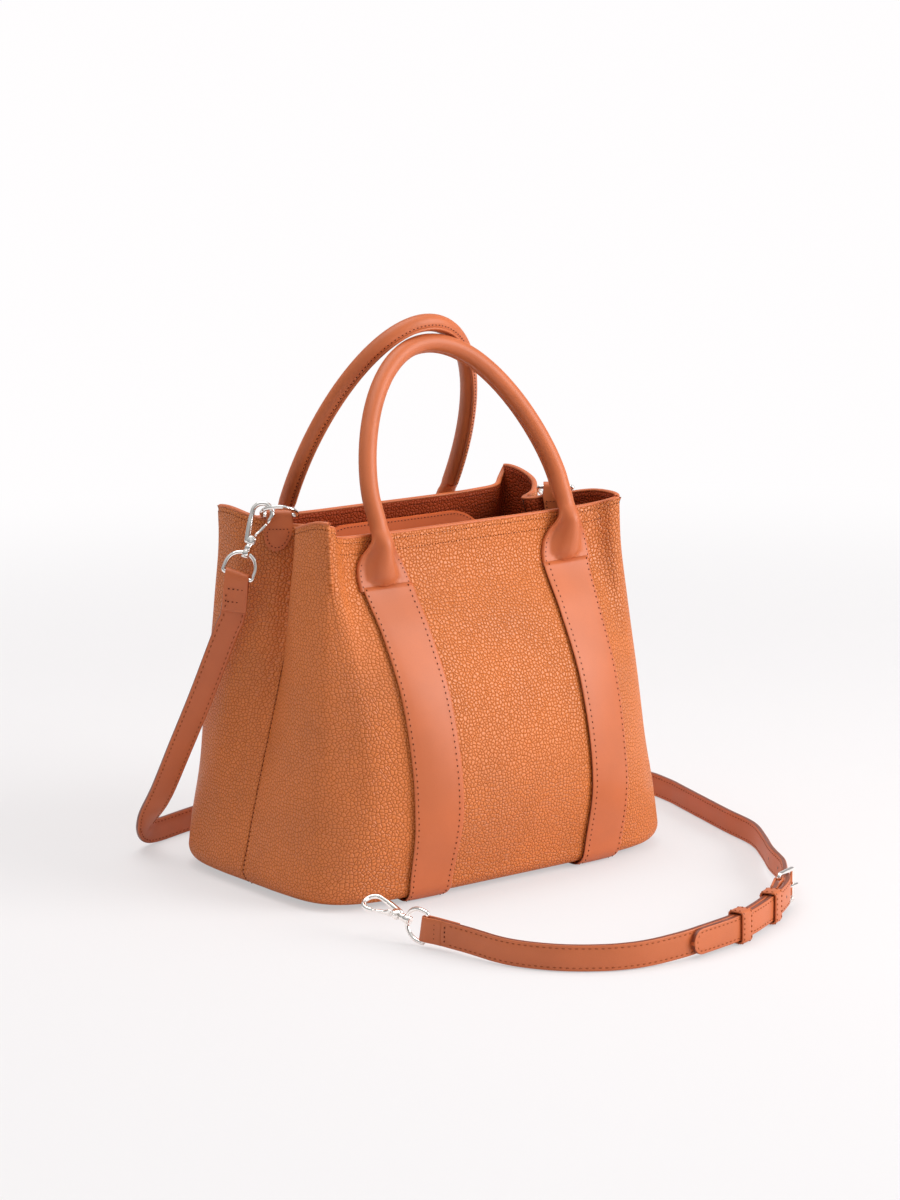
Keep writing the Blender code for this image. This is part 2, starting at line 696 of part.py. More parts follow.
def strap_ring_path():
    """A strap ring over its straight bar: two sides and a half circle that carries the swivel's boss."""
    radius = STRAP_WIDTH / 2 + 2 * GAP + BUCKLE_WIRE_RADIUS
    corner = radius * 0.06
    points = [Vector((x, 0, 0)) for x in (radius - corner, 0, corner - radius)]
    points.append(Vector((-radius, 0, corner)))
    count = 12
    for step in range(count + 1):
        angle = math.pi * (1 - step / count)
        rise = STRAP_RING_HEIGHT - radius + radius * math.sin(angle)
        points.append(Vector((radius * math.cos(angle), 0, rise)))
    points.append(Vector((radius, 0, corner)))
    return points


def make_strap_ring(name, hook_frame, parts, group, cutters):
    """The ring on a strap's end, with its origin on its bar, under the hook that turns in its boss."""
    metal = parts["metal"]
    frame = hook_frame @ Matrix.Translation((0, 0, -STEM_LENGTH - STRAP_RING_HEIGHT))
    ring = wire(name, strap_ring_path(), BUCKLE_WIRE_RADIUS, frame, metal, group, cyclic=True)
    ring = to_mesh(ring, group)
    ends = [(0, 0, STRAP_RING_HEIGHT + reach) for reach in (-BOSS_HEIGHT / 2, BOSS_HEIGHT / 2)]
    combine(ring, cylinder(name + "_boss", BOSS_RADIUS, *ends, frame, metal, group), "UNION", cutters)
    ends = [(0, 0, STRAP_RING_HEIGHT + reach) for reach in (-BOSS_HEIGHT, BOSS_HEIGHT)]
    bore = cylinder(name + "_bore", PIN_RADIUS + GAP, *ends, frame, metal, group)
    combine(ring, bore, "DIFFERENCE", cutters)
    return frame


def smooth_route(rows, spacing):
    """Points and facing directions along a smooth line through the rows of a route."""
    knots = [(Vector(row[:3]), Vector((math.cos(math.radians(row[3])), math.sin(math.radians(row[3])), 0)))
             for row in rows]
    places = []
    for i in range(len(knots) - 1):
        (start, start_face), (end, end_face) = knots[i], knots[i + 1]
        before = knots[i - 1][0] if i else start * 2 - end
        after = knots[i + 2][0] if i + 2 < len(knots) else end * 2 - start
        count = max(2, round((end - start).length / spacing))
        for step in range(count):
            share = step / count
            places.append((catmull_rom(before, start, end, after, share), start_face.lerp(end_face, share)))
    places.append(knots[-1])
    return places


def ribbon(name, places, tip_end, material, group):
    """A flat strap along its middle line; its width lies across the line and its facing direction."""
    count = len(places)
    points = []
    length = 0.0
    distances = [0.0]
    for i in range(1, count):
        length += (places[i][0] - places[i - 1][0]).length
        distances.append(length)
    for i, (point, facing) in enumerate(places):
        forward = (places[min(i + 1, count - 1)][0] - places[max(i - 1, 0)][0]).normalized()
        width_axis = forward.cross(facing).normalized()
        face_axis = width_axis.cross(forward)
        half_width = STRAP_WIDTH / 2
        left = length - distances[i]
        if tip_end and left < half_width:
            half_width = math.sqrt(max(half_width ** 2 - (half_width - left) ** 2, (half_width / 4) ** 2))
        for across, out in ((-1, -1), (1, -1), (1, 1), (-1, 1)):
            points.append(point + width_axis * across * half_width + face_axis * out * STRAP_THICKNESS / 2)
    faces = [(0, 1, 2, 3), tuple(range(4 * count - 4, 4 * count))]
    for i in range(count - 1):
        for k in range(4):
            after = (k + 1) % 4
            faces.append((4 * i + k, 4 * i + after, 4 * i + 4 + after, 4 * i + 4 + k))
    return mesh_object(name, points, faces, material, group)


def add_eye(strap, name, centre, bar_axis, parts, group, cutters):
    """The strap's folded end: a round eye about a ring's or buckle's bar."""
    bar = Vector(bar_axis).normalized()
    frame = Matrix.Translation(centre)
    outer = BUCKLE_WIRE_RADIUS + GAP + EYE_LEATHER
    reach = bar * STRAP_WIDTH / 2
    leather = parts["smooth_leather"]
    combine(strap, cylinder(name + "_eye", outer, -reach, reach, frame, leather, group), "UNION", cutters)
    far = bar * (STRAP_WIDTH / 2 + OVERRUN)
    hole = cylinder(name + "_eye_hole", BUCKLE_WIRE_RADIUS + GAP, -far, far, frame, leather, group)
    combine(strap, hole, "DIFFERENCE", cutters)


def nearest_place(places, target):
    return min(range(len(places)), key=lambda i: (places[i][0] - target).length)


def long_strap_places(hanging_ring):
    """The long strap's line, from the hanging ring's bar to its tip."""
    facing = hanging_ring.to_3x3() @ Vector((0, -1, 0))
    return [(hanging_ring.translation, facing)] + smooth_route(LONG_STRAP_ROUTE, STRAP_SPACING)


def tip_places(places):
    """The same line with closer places at its end, for the rounded tip."""
    close = list(places)
    (before, before_face), (end, end_face) = close[-2:]
    for share in (0.35, 0.65, 0.85, 0.95):
        close.insert(len(close) - 1, (before.lerp(end, share), before_face.lerp(end_face, share)))
    return close


def short_strap_places(long_places, buckle_place):
    """The short strap's line: behind the long strap from the buckle to the tip, then its own route."""
    point, facing = long_places[buckle_place]
    eye = EYE_LEATHER + GAP + BUCKLE_WIRE_RADIUS
    places = [(point + facing.normalized() * (STRAP_THICKNESS / 2 + 2 * GAP + eye), facing)]
    behind = STRAP_THICKNESS + GAP
    for point, facing in long_places[buckle_place + 2:]:
        places.append((point + facing.normalized() * behind, facing))
    joined = places[-1]
    degrees = math.degrees(math.atan2(joined[1].y, joined[1].x)) - 360
    return places[:-1] + smooth_route(((*joined[0], degrees),) + SHORT_STRAP_ROUTE, STRAP_SPACING)


def make_straps(parts, group, cutters, hanging_ring, floor_ring):
    leather = parts["smooth_leather"]
    long_places = long_strap_places(hanging_ring)
    buckle_place = nearest_place(long_places, Vector(BUCKLE_PLACE))
    short_places = short_strap_places(long_places, buckle_place)
    long_strap = ribbon("strap_long", tip_places(long_places), True, leather, group)
    bar_axes = [ring.to_3x3() @ Vector((1, 0, 0)) for ring in (hanging_ring, floor_ring)]
    add_eye(long_strap, "strap_long", long_places[0][0], bar_axes[0], parts, group, cutters)
    short_strap = ribbon("strap_short", short_places, False, leather, group)
    add_eye(short_strap, "strap_short_buckle", short_places[0][0], (0, 0, 1), parts, group, cutters)
    add_eye(short_strap, "strap_short_ring", short_places[-1][0], bar_axes[1], parts, group, cutters)
    return long_strap, short_strap, long_places, short_places, buckle_place


def buckle_matrix(long_places, short_places, buckle_place):
    """Frame of the buckle: its bar up Z, and X towards the far bar, over the long strap."""
    bar = short_places[0][0]
    (near, near_face), (far, far_face) = long_places[buckle_place - 1], long_places[buckle_place - 2]
    clear = STRAP_THICKNESS / 2 + BUCKLE_WIRE_RADIUS + 2 * GAP
    count = 20
    spots = [near.lerp(far, step / count) - near_face.lerp(far_face, step / count).normalized() * clear
             for step in range(count + 1)]
    far_bar = min(spots, key=lambda spot: abs((spot - bar).length - BUCKLE_LENGTH))
    return frame_matrix(bar, far_bar - bar, (0, 0, 1))


def make_buckle(parts, group, cutters, frame, long_strap, short_strap):
    """A rectangular frame on the short strap's eye, and the prong through the long strap."""
    metal = parts["metal"]
    half = STRAP_WIDTH / 2 + 2 * GAP + BUCKLE_WIRE_RADIUS
    corners = [Vector((BUCKLE_LENGTH * x, 0, half * z))
               for x, z in ((0, -1), (0, 0), (0, 1), (0.5, 1), (1, 1), (1, 0), (1, -1), (0.5, -1))]
    wire("buckle_frame", corners, BUCKLE_WIRE_RADIUS, frame, metal, group, cyclic=True)
    make_prong(frame, metal, group, cutters)
    reach = 2 * (BUCKLE_WIRE_RADIUS + EYE_LEATHER)
    slot_half = PRONG_RADIUS + 3 * GAP
    slot = box("prong_slot", (-reach, -reach, -slot_half), (reach, reach, slot_half), frame, metal, group)
    combine(short_strap, slot, "DIFFERENCE", cutters)
    hole = box("prong_hole", (0, -reach, -slot_half), (BUCKLE_LENGTH, reach, slot_half), frame, metal, group)
    combine(long_strap, hole, "DIFFERENCE", cutters)


def make_prong(frame, metal, group, cutters):
    """A prong looped on the near bar; its tip lies over the far bar."""
    loop = BUCKLE_WIRE_RADIUS + GAP + PRONG_RADIUS
    prong = cylinder("buckle_prong", loop + PRONG_RADIUS, (0, 0, -PRONG_RADIUS), (0, 0, PRONG_RADIUS), frame,
                     metal, group)
    far = BUCKLE_LENGTH + BUCKLE_WIRE_RADIUS
    rod = cylinder("buckle_prong_rod", PRONG_RADIUS, (loop, 0, 0), (far, -loop, 0), frame, metal, group,
                   segments=8)
    combine(prong, rod, "UNION", cutters)
    hole = cylinder("buckle_prong_hole", BUCKLE_WIRE_RADIUS + GAP, (0, 0, -OVERRUN), (0, 0, OVERRUN), frame,
                    metal, group)
    combine(prong, hole, "DIFFERENCE", cutters)


def make_keeper(name, long_places, place, leather, group):
    """A flat leather loop round both layers of the strap."""
    point, facing = long_places[place]
    forward = long_places[place + 1][0] - long_places[place - 1][0]
    centre = point + facing.normalized() * (STRAP_THICKNESS + GAP) / 2
    half_depth = STRAP_THICKNESS + KEEPER_CLEARANCE
    half_height = STRAP_WIDTH / 2 + KEEPER_CLEARANCE
    outline = rounded_outline(half_depth, 2 * half_height, KEEPER_CLEARANCE, steps=1)
    points = [Vector((x, y, z - half_height)) for y, z in outline for x in (-KEEPER_WIDTH / 2, KEEPER_WIDTH / 2)]
    keeper = mesh_object(name, points, grid_faces(len(outline), 2, cyclic=True), leather, group, closed=False)
    keeper.matrix_world = frame_matrix(centre, forward, (0, 0, 1))
    solidify(keeper, KEEPER_THICKNESS, 1.0)


def rounded_outline(half_width, height, corner, steps=CORNER_STEPS):
    """Outline of a flat panel with its foot at zero and four round corners."""
    outline = []
    for centre_x, centre_z, start in ((half_width - corner, height - corner, 0.0),
                                      (corner - half_width, height - corner, 0.5),
                                      (corner - half_width, corner, 1.0), (half_width - corner, corner, 1.5)):
        for step in range(steps + 1):
            angle = math.pi * (start + 0.5 * step / steps)
            outline.append((centre_x + corner * math.cos(angle), centre_z + corner * math.sin(angle)))
    return outline


def make_pouch(leather, group):
    """The inner pouch, open at the top: two rounded panels and a gusset round three sides."""
    floor = BASE_THICKNESS + LAYER_GAP + LEATHER + LAYER_GAP + LINING
    frame = Matrix.Translation((POUCH_X, POUCH_Y, floor + 2 * GAP))
    outline = [(x * (1 + POUCH_FLARE / POUCH_HALF_WIDTH * (1 - z / POUCH_HEIGHT)), z)
               for x, z in rounded_outline(POUCH_HALF_WIDTH, POUCH_HEIGHT, POUCH_CORNER)]
    for name, side in (("pouch_front", FRONT), ("pouch_back", BACK)):
        points = [Vector((x, side * POUCH_THICKNESS / 2, z)) for x, z in outline[::side]]
        panel = mesh_object(name, points, [tuple(range(len(points)))], leather, group, closed=False)
        panel.matrix_world = frame
        solidify(panel, POUCH_LEATHER)
    depth = POUCH_THICKNESS / 2 - GAP
    inset = 1 - POUCH_LEATHER / POUCH_HALF_WIDTH
    line = [(x * inset, POUCH_LEATHER + z * inset) for x, z in outline[2 * CORNER_STEPS + 1:] + outline[:1]]
    points = [Vector((x, y, z)) for x, z in line for y in (-depth, depth)]
    gusset = mesh_object("pouch_gusset", points, grid_faces(len(line), 2), leather, group, closed=False)
    gusset.matrix_world = frame
    solidify(gusset, POUCH_LEATHER, 0.0)


def make_walls(parts, group):
    """Panels, facings, bands and handle tabs of both halves."""
    inner = LEATHER + LAYER_GAP
    facing_rows = (FACING_FOOT_share, 0.92, FACING_TOP_share)
    band_rows = [BAND_END_share] + [row for row in ROW_shares if -1.0 <= row <= BAND_TOP_share]
    halves = (("front", FRONT, FRONT_HINGE_DEPTH, FRONT_HANDLE_SPREAD),
              ("back", BACK, BACK_HINGE_DEPTH, BACK_HANDLE_SPREAD))
    for label, half, hinge_depth, spread in halves:
        wall_layer(f"{label}_panel", half, all_stations(), ROW_shares, 0.0, LEATHER, parts["grain_leather"], group)
        wall_layer(f"{label}_facing", half, all_stations(), facing_rows, -inner, FACING,
                   parts["facing_leather"], group)
        for side_label, side in (("left", LEFT), ("right", RIGHT)):
            stations = [side * share for share in BAND_COLUMN_shares]
            wall_layer(f"{label}_{side_label}_band", half, stations, band_rows, BAND_THICKNESS + GAP,
                       BAND_THICKNESS, parts["smooth_leather"], group)
            make_handle_tab(f"{label}_{side_label}_tab", half, side, hinge_depth, spread,
                            parts["smooth_leather"], group)


def hanging_hook_matrix(ring_frame, ring_radius):
    """Frame of the clipped hook: its loop hangs from the leaning D-ring's wire, clear by a gap."""
    angle = math.radians(CONTACT_DEGREES)
    local = Vector((ring_radius * math.cos(angle), 0, D_SIDE_HEIGHT + ring_radius * math.sin(angle)))
    tangent = ring_frame.to_3x3() @ Vector((-math.sin(angle), 0, math.cos(angle)))
    down = Vector(HANGING_DIRECTION_shares).normalized()
    across = Vector(HANGING_FACE_shares).cross(down).normalized()
    level = (tangent - across * tangent.dot(across)).length
    slack = (HOOK_WIRE_RADIUS + D_WIRE_RADIUS + 2 * GAP) * level / abs(tangent.dot(across.cross(down)))
    return frame_matrix(ring_frame @ local + down * (HOOK_LENGTH - slack), across, -down)


def main():
    clear_scene()
    group = make_collection("handbag")
    cutters = make_collection("cutters")
    parts = {
        "grain_leather": make_material("grain_leather", (0.60, 0.23, 0.07), 0.5),
        "facing_leather": make_material("facing_leather", (0.45, 0.16, 0.05), 0.55),
        "smooth_leather": make_material("smooth_leather", (0.58, 0.20, 0.09), 0.42),
        "lining": make_material("lining", (0.30, 0.16, 0.09), 0.9),
        "board": make_material("board", (0.35, 0.25, 0.15), 0.9),
        "cord": make_material("cord", (0.75, 0.70, 0.60), 0.9),
        "metal": make_material("metal", (0.85, 0.85, 0.84), 0.15, 1.0),
    }
    make_walls(parts, group)
    make_lining(parts["lining"], group)
    make_plate("base_panel", BOTTOM_ROLL + TURN_IN - 2 * GAP, 0.0, BASE_THICKNESS, parts["grain_leather"], group)
    make_plate("base_board", BOTTOM_ROLL + TURN_IN + 2 * GAP, BASE_THICKNESS + GAP, BOARD_THICKNESS,
               parts["board"], group)
    path = handle_path(FRONT_HANDLE_SPREAD, FRONT_HANDLE_LEG, FRONT_HANDLE_HEIGHT, FRONT_SHOULDER_share)
    make_handle("front_handle", FRONT, FRONT_HINGE_DEPTH, path, FRONT_LEAN_DEGREES, parts, group, cutters)
    path = handle_path(BACK_HANDLE_SPREAD, BACK_HANDLE_LEG, BACK_HANDLE_HEIGHT, BACK_SHOULDER_share)
    make_handle("back_handle", BACK, BACK_HINGE_DEPTH, path, BACK_LEAN_DEGREES, parts, group, cutters)
    make_ring_tab("left_ring_tab", BACK, LEFT, parts["smooth_leather"], group)
    make_ring_tab("right_ring_tab", FRONT, RIGHT, parts["smooth_leather"], group)
    left_frame, ring_radius = make_d_ring("left_d_ring", BACK, LEFT, LEFT_RING_LEAN_DEGREES, parts["metal"], group)
    make_d_ring("right_d_ring", FRONT, RIGHT, RIGHT_RING_LEAN_DEGREES, parts["metal"], group)
    hook_a = hanging_hook_matrix(left_frame, ring_radius)
    make_hook("hook_a", hook_a, parts, group, cutters)
    hanging_ring = make_strap_ring("ring_a", hook_a, parts, group, cutters)
    away = Vector(FLOOR_HOOK_DIRECTION_shares).normalized()
    rivet_b = Vector(SHORT_STRAP_ROUTE[-1][:3]) + away * (STEM_LENGTH + STRAP_RING_HEIGHT)
    floor_ring = make_strap_ring("ring_b", frame_matrix(rivet_b, (0, 0, 1), away), parts, group, cutters)
    hook_b = frame_matrix(rivet_b, Vector(FLOOR_HOOK_FACE_shares).cross(away), away)
    make_hook("hook_b", hook_b, parts, group, cutters)
    straps = make_straps(parts, group, cutters, hanging_ring, floor_ring)
    long_strap, short_strap, long_places, short_places, buckle_place = straps
    frame = buckle_matrix(long_places, short_places, buckle_place)
    make_buckle(parts, group, cutters, frame, long_strap, short_strap)
    span = len(long_places) - 1 - buckle_place
    for name, share in zip(("fixed_keeper", "sliding_keeper"), KEEPER_STATION_shares):
        place = buckle_place + round(span * share)
        make_keeper(name, long_places, place, parts["smooth_leather"], group)
    make_pouch(parts["smooth_leather"], group)


if __name__ == "__main__":
    main()
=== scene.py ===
"""Leather tote handbag with two rolled handles, a shoulder strap on swivel hooks and an inner pouch.

Metres, +Z up, the front at -Y and the strap clipped at -X. The leather is cut, turned and stitched
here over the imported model: a wall place is a half (front or back), a station (0 at the middle of a
panel, 9 at the side seam, negative on the left) and a height share (0 over the rolled bottom edge, 1
at the rim, below 0 along the roll).
"""
import functools
import json
import math

import bmesh
import bpy
import numpy as np
from bpy.props import FloatProperty, FloatVectorProperty, IntProperty, PointerProperty
from mathutils import Matrix, Vector, noise

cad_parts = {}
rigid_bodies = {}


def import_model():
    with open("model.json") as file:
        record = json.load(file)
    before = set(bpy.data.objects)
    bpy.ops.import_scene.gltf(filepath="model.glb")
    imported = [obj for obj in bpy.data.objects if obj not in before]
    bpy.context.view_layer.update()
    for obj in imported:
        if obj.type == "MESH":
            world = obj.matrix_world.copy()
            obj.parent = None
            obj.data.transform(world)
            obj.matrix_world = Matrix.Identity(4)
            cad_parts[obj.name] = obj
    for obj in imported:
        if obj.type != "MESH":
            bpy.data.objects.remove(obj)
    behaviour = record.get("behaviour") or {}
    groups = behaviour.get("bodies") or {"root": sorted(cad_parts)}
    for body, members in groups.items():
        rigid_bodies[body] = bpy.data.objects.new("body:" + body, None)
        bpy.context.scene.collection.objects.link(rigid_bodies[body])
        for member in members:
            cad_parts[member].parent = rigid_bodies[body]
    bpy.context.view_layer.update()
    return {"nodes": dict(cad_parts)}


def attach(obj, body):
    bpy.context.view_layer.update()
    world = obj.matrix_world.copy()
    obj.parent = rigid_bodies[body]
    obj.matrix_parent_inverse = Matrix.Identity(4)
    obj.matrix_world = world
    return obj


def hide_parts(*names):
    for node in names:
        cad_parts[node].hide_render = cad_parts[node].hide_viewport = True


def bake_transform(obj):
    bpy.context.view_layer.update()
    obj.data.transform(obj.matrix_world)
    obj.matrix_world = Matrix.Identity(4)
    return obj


for leftover in list(bpy.data.objects):
    bpy.data.objects.remove(leftover, do_unlink=True)
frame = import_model()

bl_info = {
    "name": "Leather tote handbag",
    "version": (1, 0, 0),
    "blender": (4, 5, 0),
    "location": "3D View > Sidebar > Handbag",
    "description": "Dresses the packed handbag in stitched leather, thread and polished hardware",
    "category": "Object",
}

# The bag's halves and sides, as signs of y and x
FRONT, BACK = -1, 1
LEFT, RIGHT = -1, 1
HALF_NAMES = {FRONT: "front", BACK: "back"}
SIDE_NAMES = {LEFT: "left", RIGHT: "right"}

# Body of the bag, as in the part
HALF_LENGTH = 0.137
HALF_DEPTH = 0.1035
RIM_HEIGHT = 0.2145
RIM_RISE = 0.0075
MOUTH_HALF_LENGTH = 0.112
MOUTH_HALF_DEPTH = 0.062
BOTTOM_ROLL = 0.010
TURN_IN = 0.007
LEATHER = 0.0016
FACING = 0.0012
LINING = 0.0008
LAYER_GAP = 0.0004
GAP = 0.0003
BAND_THICKNESS = 0.0020
BASE_THICKNESS = 0.0022
LOW_HEIGHT = BOTTOM_ROLL + BASE_THICKNESS + LAYER_GAP
BAND_TOP = 0.846
# Outer edge of a band: height share and station; its inner edge stays at station 1
BAND_EDGE = ((-2.0, 2.00), (0.0, 2.04), (0.22, 2.23), (0.70, 2.25), (0.85, 2.31))

# Handles
HANDLE_RADIUS = 0.0054
HANDLE_SPREAD = {FRONT: 0.0705, BACK: 0.0625}
HANDLE_HINGE_HEIGHT = RIM_HEIGHT - 0.0075
HINGE_DEPTH = {FRONT: 0.0590, BACK: 0.0605}
HANDLE_HEIGHT = {FRONT: 0.1230, BACK: 0.1415}
HANDLE_LEG = {FRONT: 0.030, BACK: 0.020}
HANDLE_LEAN = {FRONT: 24.0, BACK: 28.6}
# How full the shoulders of a handle's arch are: 2 is an ellipse, less is narrower
HANDLE_SHOULDER = {FRONT: 1.55, BACK: 2.0}
# Turn of a handle's sewn ridge from the side that faces the mouth to the inside of the arch
RIDGE_DEGREES = {FRONT: 46.0, BACK: 4.0}
RIDGE_SEAM_DEGREES = 21.0
RIDGE_RISE = 0.0013
TUBE_START = 0.0165

# Ring tabs, rings, strap and hooks
RING_TAB_THICKNESS = 0.0016
RING_TAB_OUTER_LENGTH = 0.0162
RING_TAB_INNER_LENGTH = 0.020
RING_BAR_RISE = 0.0046
LOOP_RADIUS = 0.0025
RING_TAB_STATIONS = (7.63, 8.0, 8.37)
D_SIDE_HEIGHT = 0.0020
D_WIRE_RADIUS = 0.0013
RING_LEAN = {LEFT: 58.0, RIGHT: 128.0}
STRAP_WIDTH = 0.0150
STRAP_THICKNESS = 0.0032
EYE_LEATHER = 0.0014
KEEPER_WIDTH = 0.0100
KEEPER_THICKNESS = 0.0013
KEEPER_CLEARANCE = 0.0007
BUCKLE_LENGTH = 0.0171
BUCKLE_WIRE_RADIUS = 0.0013
PRONG_RADIUS = 0.0008
HOOK_WIRE_RADIUS = 0.00145
HOOK_SWELL = 0.20
HOOK_ARC_RADIUS = 0.0060
HOOK_LENGTH = 0.0235
HOOK_ARM_SPREAD = 0.0029
DISC_RADIUS = 0.0030
GATE_WIDTH = 0.0050
STEM_LENGTH = 0.0080
COLLAR_RADIUS = 0.0022
BOSS_RADIUS = 0.0025
BOSS_HEIGHT = 0.0034
PIN_RADIUS = 0.0011
STRAP_RING_HEIGHT = 0.0144

# The painted rim is an oval bead along the top of both panels
RIM_BEAD_HALF_WIDTH = 0.00172
RIM_BEAD_HALF_HEIGHT = 0.00105
RIM_BEAD_INSET = 0.0015
RIM_BEAD_DROP = 0.00035
# Rows of stitches under the rim: distance from it, and the station where they end on both sides
RIM_SEAMS = ((0.0035, 8.7), (0.0100, 3.3))
SIDE_SEAM_STATION = 8.86

# Sewing, strap holes and hook discs. The seam level is a strap's thickness along its seams, as a share
STITCH_LIFT = 0.00012
SEAM_INSET = 0.0020
SEAM_LEVEL = 0.885
STRAP_START = 0.0035
END_SEAM = 0.0155
FACING_GAP = 0.00015
HOLE_PITCH = 0.021
FIRST_HOLE = 0.0085
HOLE_RADIUS = 0.00085
DISC_THICKNESS = 0.0013

# Inner pouch
POUCH_HALF_WIDTH = 0.064
POUCH_FLARE = 0.020
POUCH_HEIGHT = 0.2048
POUCH_THICKNESS = 0.010
POUCH_LEATHER = 0.0014
POUCH_CORNER = 0.024
POUCH_LIP = 0.024
POUCH_PLACE = (-0.010, 0.0065)

# Station table: direction on the unit square, then the mouth's length, depth and rise shares
STATIONS = (
    ((0.000, 1.00), (0.000, 0.790, 0.00)),
    ((0.369, 1.00), (0.451, 0.790, 0.00)),
    ((0.588, 1.00), (0.719, 0.800, 0.07)),
    ((0.800, 1.00), (0.857, 0.825, 0.20)),
    ((1.000, 1.00), (0.930, 0.925, 0.62)),
    ((1.000, 0.80), (0.985, 0.955, 0.90)),
    ((1.000, 0.60), (1.002, 0.830, 0.97)),
    ((1.000, 0.33), (0.996, 0.460, 0.80)),
    ((1.000, 0.13), (0.872, 0.160, 0.33)),
    ((1.000, 0.00), (0.741, 0.000, 0.07)),
)
LAST = len(STATIONS) - 1
# Stations or height shares over which a direction on the wall is measured
SMALL_STEP = 0.01
SIDE_BLEND = (0.0, 0.0, 0.0, 0.15, 0.40, 0.55, 0.75, 0.90, 1.0, 1.0)
PROFILE = (
    (0.000, 1.000, 0.899, 5.0, 0.00, 0.00),
    (0.220, 0.974, 1.000, 3.5, 0.00, 0.15),
    (0.520, 0.953, 1.000, 3.4, 0.20, 0.45),
    (0.725, 0.934, 0.957, 3.35, 0.54, 0.67),
    (0.875, 0.920, 0.908, 3.3, 0.90, 0.85),
    (1.000, 0.912, 0.880, 3.3, 1.00, 1.00),
)

# Strap routes, as in the part: x, y, z and the direction its inner face looks to
LONG_STRAP_ROUTE = (
    (-0.1270, 0.0183, 0.1642, -117), (-0.1310, 0.0246, 0.1474, -117), (-0.1375, 0.0400, 0.1110, -115),
    (-0.1412, 0.0590, 0.0770, -112), (-0.1400, 0.0830, 0.0450, -108), (-0.1375, 0.1030, 0.0250, -100),
    (-0.1300, 0.1180, 0.0120, -86), (-0.1170, 0.1260, 0.0082, -72), (-0.0840, 0.1376, 0.0080, -70),
    (-0.0300, 0.1530, 0.0080, -76), (0.0350, 0.1600, 0.0080, -88), (0.1000, 0.1490, 0.0080, -109),
    (0.1530, 0.1190, 0.0080, -131), (0.1880, 0.0750, 0.0080, -153), (0.2015, 0.0300, 0.0080, -172),
    (0.1990, 0.0000, 0.0080, -187), (0.1920, -0.0260, 0.0080, -197), (0.1759, -0.0822, 0.0080, -198),
    (0.1655, -0.1200, 0.0082, -201), (0.1475, -0.1500, 0.0092, -208), (0.1275, -0.1785, 0.0110, -211),
    (0.1135, -0.2040, 0.0110, -213), (0.0992, -0.2214, 0.0110, -217), (0.0860, -0.2380, 0.0110, -229),
    (0.0590, -0.2555, 0.0105, -240), (0.0200, -0.2725, 0.0100, -253), (-0.0240, -0.2800, 0.0095, -265),
)
SHORT_STRAP_ROUTE = (
    (-0.0480, -0.2748, 0.0084, -277), (-0.0700, -0.2680, 0.0080, -293), (-0.0935, -0.2500, 0.0080, -314),
    (-0.1095, -0.2240, 0.0083, -334), (-0.1165, -0.1950, 0.0098, -347), (-0.1238, -0.1665, 0.0112, -346),
)
HANGING_DIRECTION = (-0.440, 0.050, -0.897)
FLOOR_HOOK_DIRECTION = (-0.202, 0.959, 0.198)
FLOOR_HOOK_FACE = (-0.307, -0.254, 0.917)
HANGING_FACE = (-0.70, -0.70, 0.10)
CONTACT_DEGREES = 34.0
KEEPER_STATIONS = (0.27, 0.64)
BUCKLE_PLACE = (0.0860, -0.2380, 0.0110)
STRAP_SPACING = 0.010
FINE_SPACING = 0.0025

# Soft waves pressed into the walls: half, station, height share, their spreads and the depth
WALL_WAVES = (
    (FRONT, -4.85, 0.86, 0.90, 0.36, -0.0034),
    (FRONT, 4.90, 0.86, 0.80, 0.34, -0.0020),
    (BACK, -4.90, 0.86, 0.80, 0.34, -0.0024),
    (BACK, 4.90, 0.80, 0.80, 0.30, -0.0016),
    (FRONT, -4.6, 0.50, 0.9, 0.22, -0.0016),
    (FRONT, 0.1, 0.30, 1.3, 0.25, 0.0012),
    (FRONT, 3.2, 0.75, 0.6, 0.16, -0.0012),
    (BACK, -3.0, 0.70, 0.7, 0.20, -0.0014),
    (BACK, 3.4, 0.62, 0.8, 0.20, -0.0014),
    (BACK, 0.3, 0.35, 1.3, 0.25, 0.0010),
    (FRONT, -7.2, 0.55, 0.8, 0.18, -0.0012),
    (BACK, -6.8, 0.45, 0.9, 0.20, 0.0012),
)
# Depth of the small dents all over the walls, and of the side seams
DENT_DEPTH = 0.0011
SEAM_DENT = 0.0007
# Waves in the rim: half, station, spread, rise and how flat the top is (2 is round)
RIM_WAVES = ((BACK, 5.5, 1.25, 0.0050, 4), (BACK, -4.6, 1.0, 0.0024, 2), (BACK, -6.5, 0.9, 0.0030, 2),
             (FRONT, 5.0, 0.9, -0.0018, 2))
# The cut edge of the front left wing stands a step higher than the sewn rim beside it
WING_STEP = (FRONT, -3.74, 0.10, 0.0048)

